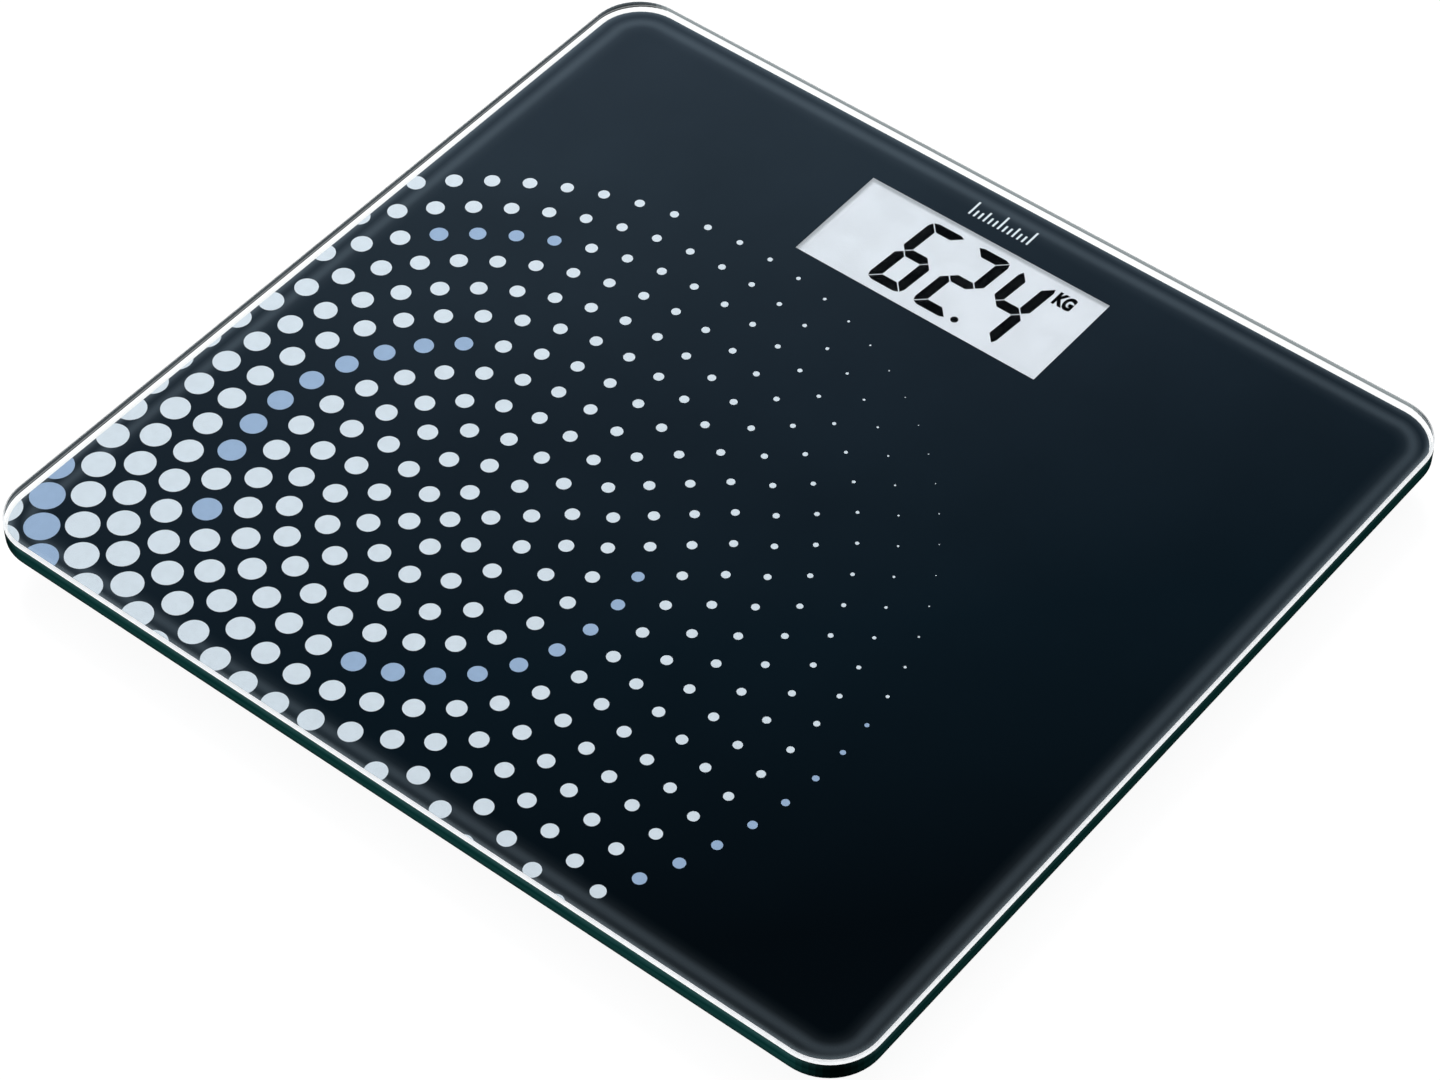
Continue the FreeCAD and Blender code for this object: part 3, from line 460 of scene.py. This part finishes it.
def wall_material():
    """The ground side of the glass: deep green in lengthwise bands, with painted shade that darkens it on
    the left and right and makes it almost black in the corners.
    """
    material, nodes = new_material("green_glass_edge")
    place = nodes.place()
    level = wall_level(nodes, place)
    streaks = nodes.noise(nodes.stretch(place, (1.0, 1.0, 22.0)), 90.0, 4.0, 0.6)
    wandering = nodes.maths("ADD", level, nodes.spread(streaks, -0.09, 0.09))
    green = nodes.ramp(wandering, [
        (0.00, (0.002, 0.012, 0.011)),
        (0.14, (0.007, 0.036, 0.033)),
        (0.34, (0.008, 0.048, 0.044)),
        (0.52, (0.002, 0.031, 0.028)),
        (0.70, (0.011, 0.054, 0.052)),
        (0.86, (0.025, 0.082, 0.079)),
        (1.00, (0.020, 0.064, 0.060)),
    ], smooth=False)
    # Painted shade: the green is darkened on the left and right faces, and most of all in the corners.
    across, along = facing_parts(nodes)
    side = nodes.maths("SUBTRACT", 1.0, nodes.maths("MULTIPLY", across, SIDE_PAINTED_SHADE))
    corner = nodes.maths("MULTIPLY", nodes.maths("MULTIPLY", across, along), CORNER_PAINTED_SHADE)
    depth = nodes.maths("MULTIPLY", side, nodes.maths("SUBTRACT", 1.0, corner))
    nodes.finish(nodes.principled({
        "Base Color": nodes.scaled(green, depth),
        "Roughness": nodes.spread(nodes.noise(place, 400.0), 0.35, 0.5),
        "Specular IOR Level": 0.0, "Normal": nodes.bump(streaks, 0.15, 0.00005),
    }))
    return material


# On the left and right the painted light bands seen through the glass sit this much lower.
PAINTED_BANDS_DROP = 0.289


def inside_material():
    """The side wall seen through the glass, painted as light and reflection: bright white low down and
    grey above, on the left and right with a dark line below the grey and another above it, all glowing in
    its own tone."""
    material, nodes = new_material("edge_from_inside_painted_light")
    place = nodes.place()
    across, _ = facing_parts(nodes)
    level = nodes.maths("ADD", wall_level(nodes, place), nodes.maths("MULTIPLY", across, PAINTED_BANDS_DROP))
    wandering = nodes.maths("ADD", level, nodes.spread(nodes.noise(place, 60.0), -0.01, 0.01))
    plain = nodes.ramp(wandering, [
        (0.50, (1.00, 1.00, 1.00)),
        (0.56, (0.22, 0.24, 0.24)),
        (0.90, (0.27, 0.29, 0.29)),
    ], smooth=False)
    lined = nodes.ramp(wandering, [
        (0.46, (1.00, 1.00, 1.00)),
        (0.48, (0.02, 0.02, 0.02)),
        (0.58, (0.02, 0.02, 0.02)),
        (0.64, (0.22, 0.23, 0.23)),
        (0.72, (0.22, 0.23, 0.23)),
        (0.80, (0.006, 0.006, 0.006)),
    ], smooth=False)
    tone = nodes.mixed(nodes.remap(across, 0.05, 0.4), plain, lined)
    # Painted light: the tone glows strongly over a dim diffuse layer.
    frost = nodes.diffuse(nodes.scaled(tone, 0.5))
    nodes.finish(nodes.shaders_added(frost, nodes.emission(tone, 0.95)))
    return material


def build_glass():
    """The clear body, whose underside takes in the top of the print so that no air lies between."""
    half = SKIN / 2
    sections = [
        (LOWER_BEVEL + FOOT_INSET, PRINT_HIGH.z - PRINT_BITE),
        (LOWER_BEVEL, GLASS_LOW.z + half),
        (half, GLASS_LOW.z + LOWER_BEVEL),
    ]
    sections += [(offset + half, GLASS_HIGH.z - depth) for offset, depth in CROWN[:-1]]
    sections += [(GLASS_BEVEL, GLASS_HIGH.z - half), (GLASS_BEVEL + LIP, GLASS_HIGH.z)]
    body = rounded_slab("glass_body", sections, glass_material())
    body.visible_shadow = False
    body.visible_diffuse = False
    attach(body, "platform")
    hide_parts("glass_platform")


def build_rim():
    """The ground rim: frosted crown and lower bevel with the green wall between, as a thin skin."""
    foot = GLASS_LOW.z + LOWER_BEVEL
    profile = [
        (LOWER_BEVEL, GLASS_LOW.z),
        (EDGE_CUT, foot - EDGE_CUT),
        (0.0, foot + EDGE_RISE),
    ]
    profile += [(offset, GLASS_HIGH.z - depth) for offset, depth in CROWN]
    frosted, green, inside = range(3)
    outer_slots = [frosted, green, green, frosted, frosted, frosted]
    work = bmesh.new()
    outer = [add_ring(work, outline(offset), height) for offset, height in profile]
    middle = (GLASS_LOW.z + GLASS_HIGH.z) / 2
    inner = []
    for offset, height in profile:
        pull = math.copysign(SKIN_PULL, middle - height)
        inner.append(add_ring(work, outline(offset + SKIN), height + pull))
    for i, slot in enumerate(outer_slots):
        bridge(work, outer[i], outer[i + 1], slot)
        bridge(work, inner[i + 1], inner[i], inside)
    bridge(work, inner[0], outer[0], frosted)
    bridge(work, outer[-1], inner[-1], frosted)
    rim = object_from_bmesh("glass_rim", work, bevel_material(), wall_material(), inside_material())
    # The glass lets light through to the print, so its rim casts no shade on it.
    rim.visible_shadow = False
    rim.visible_diffuse = False
    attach(rim, "platform")


# The soft pale band on the glass beside the bevel, a painted highlight: half width, strength, number of
# rings, its inner and outer limits from the edge, and how far it lies above the glass.
HAZE_HALF = 1.2
HAZE_PEAK = 0.12
HAZE_STEPS = 16
HAZE_START = GLASS_BEVEL + 0.1
HAZE_REACH = 4.5
HAZE_LIFT = 0.01


def haze_material():
    """Clear except where the mesh's haze value makes it pale: a painted highlight."""
    material, nodes = new_material("painted_highlight_haze")
    amount = nodes.add("ShaderNodeAttribute", attribute_name="haze").outputs["Fac"]
    cloud = nodes.spread(nodes.noise(nodes.place(), 30.0, 3.0), 0.92, 1.08)
    frost = nodes.diffuse((0.72, 0.88, 0.97, 1.0))
    nodes.finish(nodes.shaders_mixed(nodes.maths("MULTIPLY", amount, cloud), nodes.clear(), frost))
    return material


# A ring of painted highlight just above the glass, along its edge.
def build_haze():
    work = bmesh.new()
    strength = work.verts.layers.float.new("haze")
    rings = []
    for step in range(HAZE_STEPS + 1):
        offset = HAZE_START + (HAZE_REACH - HAZE_START) * step / HAZE_STEPS
        ring = add_ring(work, outline(offset), GLASS_HIGH.z + HAZE_LIFT)
        amount = HAZE_PEAK * math.exp(-(((offset - GLASS_BEVEL) / HAZE_HALF) ** 2))
        for vertex in ring:
            vertex[strength] = amount if step < HAZE_STEPS else 0.0
        rings.append(ring)
    for outer, inner in zip(rings, rings[1:]):
        bridge(work, outer, inner)
    haze = object_from_bmesh("glass_painted_highlight", work, haze_material())
    haze.visible_shadow = False
    haze.visible_diffuse = False
    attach(haze, "platform")


# ---- Print ------------------------------------------------------------------------------

# Rings of dots around one dot, each ring one pitch further out and with as many dots as fit in
# it one pitch apart. They shrink along the diagonal, from the front left to the rear right,
# but never below the smallest radius. The dots lie just above the print, in the glass.
RINGS_X = -53.55
RINGS_Y = -61.55
RINGS_PITCH = 11.944
RINGS_COUNT = 12
RINGS_START = math.radians(-18.2)
DOT_SHARE = 0.2507
DOT_TAPER = 0.0204
DOT_SMALLEST = 0.18
DOT_DIAGONAL = math.radians(44.4)
DOT_LOW = 0.005
DOT_HIGH = 0.012

PALE_INK = (0.76, 0.85, 0.92)
PERIWINKLE_INK = (0.361, 0.502, 0.708)

# Runs of periwinkle dots: ring, first dot, number of dots.
ACCENT_RUNS = [(5, 26, 9), (6, 15, 8), (6, 24, 1), (10, 23, 4), (10, 39, 4), (12, 0, 6), (12, 73, 2)]


# Strength of the print's painted edge glow by its distance from the glass's edge: it falls away from the
# edge, and then a soft band of painted light lies further in. The glow's centre is a little off the
# glass's.
PAINTED_EDGE_GLOW = [
    (1.4, 1.7), (2.2, 0.9), (3.0, 0.35), (4.0, 0.12),
    (5.2, 0.5), (6.0, 0.86), (6.8, 1.0), (7.6, 0.86), (8.4, 0.5), (9.3, 0.2), (10.8, 0.07), (12.5, 0.0),
]
PAINTED_EDGE_GLOW_COLOUR = (0.040, 0.050, 0.058)
PAINTED_EDGE_GLOW_X = 0.4
PAINTED_EDGE_GLOW_Y = 0.7

# Painted reflection: the ink is painted paler along this direction, from the near right corner to the far
# left one, like a soft light mirrored in the glass.
PAINTED_REFLECTION_DIRECTION = (-0.743, 0.669, 0.0)
PAINTED_REFLECTION_FROM = -165.0
PAINTED_REFLECTION_TO = 190.0
PAINTED_REFLECTION = [
    (0.00, (0.0013, 0.0033, 0.0052)),
    (0.29, (0.0038, 0.0100, 0.0160)),
    (0.57, (0.0112, 0.0195, 0.0288)),
    (0.85, (0.0210, 0.0328, 0.0450)),
    (1.00, (0.0255, 0.0380, 0.0520)),
]

# The back of the print, which is bare ink.
INK_BACK = (0.012, 0.020, 0.028, 1.0)


def edge_distance(nodes, place):
    """Distance in millimetres inward from a rounded rectangle as large as the glass."""
    flat = nodes.add("ShaderNodeMapping", {"Vector": place, "Location": (-PAINTED_EDGE_GLOW_X, -PAINTED_EDGE_GLOW_Y, 0.0),
                                           "Scale": (1 / MM, 1 / MM, 0.0)}).outputs["Vector"]
    half = (GLASS_WIDTH / 2 - GLASS_CORNER, GLASS_DEPTH / 2 - GLASS_CORNER, 0.0)
    mirrored = nodes.vectors("ABSOLUTE", flat)["Vector"]
    beyond = nodes.vectors("SUBTRACT", mirrored, half)["Vector"]
    outside = nodes.vectors("MAXIMUM", beyond)["Vector"]
    reach = nodes.vectors("LENGTH", outside)["Value"]
    parts = nodes.parts(beyond)
    inside = nodes.maths("MINIMUM", nodes.maths("MAXIMUM", parts["X"], parts["Y"]), 0.0)
    return nodes.maths("SUBTRACT", GLASS_CORNER, nodes.maths("ADD", reach, inside))


def print_material():
    """Dark ink with a painted reflection and a painted edge glow on the front, and one dark tone on the
    back.
    """
    material, nodes = new_material("dark_ink_painted_light")
    place = nodes.place()
    way = nodes.vectors("DOT_PRODUCT", place, PAINTED_REFLECTION_DIRECTION)["Value"]
    painted_reflection = nodes.ramp(nodes.remap(way, PAINTED_REFLECTION_FROM * MM, PAINTED_REFLECTION_TO * MM), PAINTED_REFLECTION, smooth=False)
    # Painted light: a pale glow laid on the ink by its distance from the edge.
    span = PAINTED_EDGE_GLOW[-1][0]
    share = nodes.maths("DIVIDE", edge_distance(nodes, place), span)
    tones = [(distance / span, shade(PAINTED_EDGE_GLOW_COLOUR, strength)) for distance, strength in PAINTED_EDGE_GLOW]
    painted_edge_glow = nodes.ramp(share, tones, smooth=False)
    front = nodes.vectors("ADD", painted_reflection, painted_edge_glow)["Vector"]
    # Only the upper face gets the painted reflection and glow; the back is bare ink.
    upwards = nodes.maths("GREATER_THAN", nodes.parts(nodes.facing())["Z"], 0.0)
    tone = nodes.mixed(upwards, INK_BACK, front)
    ink = nodes.scaled(tone, nodes.spread(nodes.noise(place, 22.0, 3.0), 0.93, 1.07))
    screen = nodes.noise(place, 5000.0, 1.0)
    nodes.finish(nodes.principled({
        "Base Color": ink, "Roughness": nodes.spread(screen, 0.5, 0.7), "Specular IOR Level": 0.0,
        "Normal": nodes.bump(screen, 0.05, 0.00001),
    }))
    return material


def ink_spot(name, colour):
    return surface(name, colour, 0.6, variation=0.025, blotch=350.0, grain=6000.0, bump=0.04,
                   specular=0.0)


def is_accent(ring, index, count):
    for accent_ring, first, length in ACCENT_RUNS:
        if ring == accent_ring and (index - first) % count < length:
            return True
    return False


def dots():
    """Every dot of the print: x, y, radius, accent."""
    yield RINGS_X, RINGS_Y, DOT_SHARE * RINGS_PITCH, False
    for ring in range(1, RINGS_COUNT + 1):
        count = int(2 * math.pi * ring)
        for index in range(count):
            angle = RINGS_START + 2 * math.pi * index / count
            reach = ring * RINGS_PITCH
            along = reach * math.cos(angle - DOT_DIAGONAL)
            radius = max(DOT_SMALLEST, DOT_SHARE * RINGS_PITCH - DOT_TAPER * along)
            x = RINGS_X + reach * math.cos(angle)
            y = RINGS_Y + reach * math.sin(angle)
            yield x, y, radius, is_accent(ring, index, count)


def clip_to_print(points):
    """The part of a convex outline inside the print's rounded rectangle."""
    limit = outline(0.0, PRINT_WIDTH, PRINT_DEPTH, PRINT_CORNER)
    for a, b in zip(limit, limit[1:] + limit[:1]):
        if (b - a).length < 1e-6:
            continue
        kept = []
        edge = b - a
        for p, q in zip(points, points[1:] + points[:1]):
            side_p = edge.x * (p.y - a.y) - edge.y * (p.x - a.x)
            side_q = edge.x * (q.y - a.y) - edge.y * (q.x - a.x)
            if side_p >= 0:
                kept.append(p)
            if side_p * side_q < 0:
                kept.append(p.lerp(q, side_p / (side_p - side_q)))
        points = kept
        if len(points) < 3:
            return []
    return points


def build_print():
    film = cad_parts["printed_film"]
    film.data.materials.clear()
    film.data.materials.append(print_material())
    groups = {False: bmesh.new(), True: bmesh.new()}
    for x, y, radius, accent in dots():
        rim = clip_to_print(circle(x, y, radius))
        if rim:
            prism(groups[accent], rim, PRINT_HIGH.z + DOT_LOW, PRINT_HIGH.z + DOT_HIGH)
    pale = object_from_bmesh("pale_dots", groups[False], ink_spot("pale_ink", PALE_INK))
    accent = object_from_bmesh("accent_dots", groups[True], ink_spot("periwinkle_ink", PERIWINKLE_INK))
    for thing in (pale, accent):
        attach(thing, "platform")


# The row of ticks: number, distance, width, the line that they stand on, and their heights.
TICKS = 13
TICK_PITCH = 1.85
TICK_WIDTH = 0.7
TICK_FOOT = 136.3
TICK_TALL = 6.4
TICK_MIDDLE = 4.6
TICK_SHORT = 3.0
WHITE_INK = (0.80, 0.88, 0.93)


def build_mark():
    """A plain row of graduation ticks above the window: every sixth tall, halfway ones middling."""
    work = bmesh.new()
    half = TICK_WIDTH / 2
    for index in range(TICKS):
        x = (index - (TICKS - 1) / 2) * TICK_PITCH
        height = TICK_TALL if index % 6 == 0 else TICK_MIDDLE if index % 3 == 0 else TICK_SHORT
        top = TICK_FOOT + height
        corners = ((x - half, TICK_FOOT), (x + half, TICK_FOOT), (x + half, top), (x - half, top))
        points = [Vector(corner) for corner in corners]
        prism(work, points, PRINT_HIGH.z + DOT_LOW, PRINT_HIGH.z + DOT_HIGH)
    mark = object_from_bmesh("graduation_mark", work, ink_spot("white_ink", WHITE_INK))
    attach(mark, "platform")


# ---- Display ----------------------------------------------------------------------------

DIGIT_WIDTH = 13.4
DIGIT_HEIGHT = 32.4
DIGIT_PITCH = 17.48
DIGIT_FIRST = -19.55
DIGIT_MIDDLE = 111.57
DIGIT_SLANT = math.radians(4.2)
STROKE = 3.7
SEGMENT_GAP = 0.36

# A digit's outer corners are cut off this far, with a knee in the cut at this share of it.
CORNER_CUT = 2.3
KNEE_SHARE = 0.29

# The lit segments of a six, a two and a four, named from a at the top, clockwise to f at the
# upper left, and g across the middle.
SEGMENTS_LIT = ["afgedc", "abged", "fgbc"]

# The decimal point: its place across, its height above the digits' foot, and its radius.
POINT_X = 12.45
POINT_RISE = 1.8
POINT_RADIUS = 1.28

# The unit sign: its middle, size, added weight, and how it is stretched.
SIGN_X = 34.5
SIGN_Y = 124.0
SIGN_SIZE = 5.6
SIGN_WEIGHT = 0.34
SIGN_STRETCH = (0.87, 1.3, 1.0, 1.0)

# The segments lie this far above the foot of the front glass, and are this thick.
DIGIT_RISE = 0.04
DIGIT_THICKNESS = 0.03


def segment_shapes():
    """Outlines of the seven segments in an upright digit, from its lower left corner."""
    width, height, stroke, cut = DIGIT_WIDTH, DIGIT_HEIGHT, STROKE, CORNER_CUT
    gap = SEGMENT_GAP / math.sqrt(2)
    middle = height / 2
    half = stroke / 2
    knee = cut * KNEE_SHARE
    top = [
        (cut + gap, height), (width - cut - gap, height),
        (width - knee - gap, height - knee), (width - stroke - gap, height - stroke),
        (stroke + gap, height - stroke), (knee + gap, height - knee),
    ]
    left = [
        (0, height - cut - gap), (knee, height - knee - gap), (stroke, height - stroke - gap),
        (stroke, middle + half + gap), (half, middle + gap), (0, middle + half + gap),
    ]
    bar = [
        (half + gap, middle), (stroke + gap, middle + half), (width - stroke - gap, middle + half),
        (width - half - gap, middle), (width - stroke - gap, middle - half), (stroke + gap, middle - half),
    ]
    right = [(width - x, y) for x, y in left]
    shapes = {"a": top, "b": right, "f": left, "g": bar}
    for upper, lower in (("a", "d"), ("b", "c"), ("f", "e")):
        shapes[lower] = [(x, height - y) for x, y in shapes[upper]]
    return shapes


def wound(points):
    """The outline anticlockwise, so that its prism faces outwards."""
    area = sum(p.x * q.y - q.x * p.y for p, q in zip(points, points[1:] + points[:1]))
    return points if area > 0 else list(reversed(points))


def build_digits(low, high, material):
    work = bmesh.new()
    shapes = segment_shapes()
    bottom = DIGIT_MIDDLE - DIGIT_HEIGHT / 2
    for index, lit in enumerate(SEGMENTS_LIT):
        left = DIGIT_FIRST + index * DIGIT_PITCH
        for letter in lit:
            points = []
            for x, y in shapes[letter]:
                lean = (y - DIGIT_HEIGHT / 2) * math.tan(DIGIT_SLANT)
                points.append(Vector((left + x + lean, bottom + y)))
            prism(work, wound(points), low, high)
    prism(work, circle(POINT_X, bottom + POINT_RISE, POINT_RADIUS), low, high)
    digits = object_from_bmesh("lcd_digits", work, material)
    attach(digits, "platform")


def build_unit_sign(low, high, material):
    middle = (low + high) / 2
    curve = bpy.data.curves.new("unit_sign", "FONT")
    curve.body = "KG"
    curve.size = SIGN_SIZE * MM
    curve.extrude = (high - low) / 2 * MM
    curve.offset = SIGN_WEIGHT * MM
    curve.align_x = "CENTER"
    curve.align_y = "CENTER"
    text = in_scene("unit_sign_text", curve)
    bpy.context.view_layer.update()
    graph = bpy.context.evaluated_depsgraph_get()
    mesh = bpy.data.meshes.new_from_object(text.evaluated_get(graph))
    bpy.data.objects.remove(text)
    shift = Matrix.Translation((SIGN_X * MM, SIGN_Y * MM, middle * MM))
    mesh.transform(shift @ Matrix.Diagonal(SIGN_STRETCH))
    mesh.materials.clear()
    mesh.materials.append(material)
    sign = in_scene("lcd_unit_sign", mesh)
    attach(sign, "platform")


def clear_film(name, tint, cover=0.01, roughness=0.1):
    """A clear sheet that light passes straight through, with a slight tint and gloss."""
    material, nodes = new_material(name)
    shades = nodes.ramp(nodes.noise(nodes.place(), 80.0, 2.0), [(0.3, shade(tint, 0.985)), (0.7, tint)])
    gloss = nodes.add("ShaderNodeBsdfGlossy", {"Color": (0.9, 0.95, 1.0, 1.0), "Roughness": roughness})
    nodes.finish(nodes.shaders_mixed(cover, nodes.clear(shades), gloss.outputs["BSDF"]))
    return material


def paint(material, *names):
    for name in names:
        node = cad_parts[name]
        node.data.materials.clear()
        node.data.materials.append(material)


def build_display():
    paint(clear_film("polariser_film", (0.985, 0.99, 0.99)), "lcd_polariser")
    paint(clear_film("lcd_glass", (0.99, 0.995, 0.995)), "lcd_front_glass")
    # Light falls straight through the clear sheets.
    for name in ("lcd_polariser", "lcd_front_glass"):
        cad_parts[name].visible_shadow = False
    # The liquid crystal between the glasses hides what lies below it, so the rear one looks pale. It also
    # glows: painted light that brightens it and softens the shade at the window's edges.
    pale = surface("milky_crystal_painted_glow", (0.502, 0.523, 0.559), 0.75, variation=0.012, blotch=500.0,
                   grain=3500.0, bump=0.05, specular=0.1, painted_glow=0.85)
    paint(pale, "lcd_rear_glass")
    paint(surface("reflector_film", (0.80, 0.875, 0.93), 0.75, variation=0.012, blotch=500.0, grain=3500.0,
                  bump=0.05, specular=0.1), "lcd_reflector")
    black = surface("lcd_black", (0.0008, 0.0009, 0.0010), 0.5, variation=0.2, blotch=200.0, grain=5000.0,
                    bump=0.03, specular=0.0)
    low = box_mm("lcd_front_glass")[0].z + DIGIT_RISE
    high = low + DIGIT_THICKNESS
    build_digits(low, high, black)
    build_unit_sign(low, high, black)


# ---- Everything under the glass ---------------------------------------------------------

FEET = ("front_left", "front_right", "rear_left", "rear_right")


def each_foot(kind):
    return [f"{kind}_{foot}" for foot in FEET]


def build_underside():
    """A finish for each CAD node that stays as it is."""
    moulded = surface("black_moulding", (0.030, 0.032, 0.035), 0.55, variation=0.15, blotch=45.0,
                      grain=1800.0, bump=0.35, depth=0.00008)
    paint(moulded, "display_shell", "back_cover", "lcd_holder", "battery_lid",
          *each_foot("foot_housing"), *each_foot("cable_duct"))
    paint(surface("foot_moulding", (0.045, 0.047, 0.05), 0.42, variation=0.15, blotch=70.0, grain=2200.0,
                  bump=0.2), *each_foot("foot_disc"))
    paint(surface("foot_rubber", (0.035, 0.035, 0.037), 0.85, variation=0.2, blotch=120.0, grain=2500.0,
                  bump=0.5, specular=0.3, depth=0.0001), *each_foot("rubber_pad"))
    paint(surface("stamped_steel", (0.58, 0.59, 0.60), 0.32, variation=0.08, blotch=90.0, grain=1200.0,
                  bump=0.15, metallic=1.0, stretched=(1.0, 14.0, 1.0)), *each_foot("load_cell"))
    paint(surface("gauge_sealant", (0.80, 0.78, 0.70), 0.45, variation=0.06, blotch=800.0, grain=2000.0,
                  bump=0.4), *each_foot("strain_gauge"))
    paint(surface("zinc_screws", (0.56, 0.57, 0.60), 0.28, variation=0.1, blotch=600.0, grain=3000.0,
                  bump=0.15, metallic=1.0), "cover_screws", "board_screws")
    paint(surface("nickel_spring", (0.70, 0.69, 0.65), 0.25, variation=0.08, blotch=400.0, grain=3000.0,
                  bump=0.1, metallic=1.0), "battery_spring_contact", "battery_side_contact")
    paint(surface("battery_can", (0.72, 0.73, 0.74), 0.22, variation=0.06, blotch=300.0, grain=2600.0,
                  bump=0.12, metallic=1.0), "coin_battery")
    paint(surface("grey_keycap", (0.36, 0.38, 0.40), 0.45, variation=0.08, blotch=300.0, grain=2500.0,
                  bump=0.2), "unit_button", "switch_plunger", "unit_switch")
    paint(surface("adhesive_foam", (0.045, 0.045, 0.045), 0.95, variation=0.25, blotch=600.0, grain=3000.0,
                  bump=0.7, specular=0.1), "shell_gasket", "foot_adhesive")
    paint(surface("solder_mask", (0.012, 0.11, 0.045), 0.3, variation=0.15, blotch=120.0, grain=1500.0,
                  bump=0.12, coat=0.3), "main_board")
    paint(surface("black_epoxy", (0.012, 0.012, 0.013), 0.25, variation=0.2, blotch=300.0, grain=1200.0,
                  bump=0.1), "chip_blob")
    paint(surface("board_component", (0.09, 0.08, 0.07), 0.5, variation=0.3, blotch=300.0, grain=2500.0,
                  bump=0.15), "board_parts")
    paint(surface("silicone_strip", (0.55, 0.42, 0.46), 0.6, variation=0.3, blotch=2500.0, grain=4000.0,
                  bump=0.2, stretched=(1.0, 0.05, 0.05)), "zebra_strip")
    paint_wires()


def paint_wires():
    """Black, red and white insulation: one colour for each wire, by its place across the loom."""
    colours = {"black": (0.02, 0.02, 0.022), "red": (0.42, 0.02, 0.02), "white": (0.78, 0.77, 0.74)}
    insulation = [
        surface(f"{name}_insulation", colour, 0.4, variation=0.08, blotch=150.0, grain=1500.0, bump=0.1)
        for name, colour in colours.items()
    ]
    for name in each_foot("wire_loom"):
        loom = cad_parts[name]
        loom.data.materials.clear()
        for material in insulation:
            loom.data.materials.append(material)
        for index, faces in enumerate(islands(loom.data)):
            for face in faces:
                loom.data.polygons[face].material_index = index % len(insulation)


def islands(mesh):
    """Face numbers of each separate solid in a mesh, joined through shared places."""
    parent = {}

    def root(key):
        while parent[key] != key:
            parent[key] = parent[parent[key]]
            key = parent[key]
        return key

    keys = [tuple(round(c, 6) for c in vertex.co) for vertex in mesh.vertices]
    for key in keys:
        parent.setdefault(key, key)
    for polygon in mesh.polygons:
        first = root(keys[polygon.vertices[0]])
        for vertex in polygon.vertices[1:]:
            parent[root(keys[vertex])] = first
            first = root(first)
    found = {}
    for polygon in mesh.polygons:
        found.setdefault(root(keys[polygon.vertices[0]]), []).append(polygon.index)
    return [found[key] for key in sorted(found)]


# ---- Build ------------------------------------------------------------------------------

bpy.context.scene.view_settings.view_transform = "Standard"
build_camera()
build_stage()
build_glass()
build_rim()
build_haze()
build_print()
build_mark()
build_display()
build_underside()
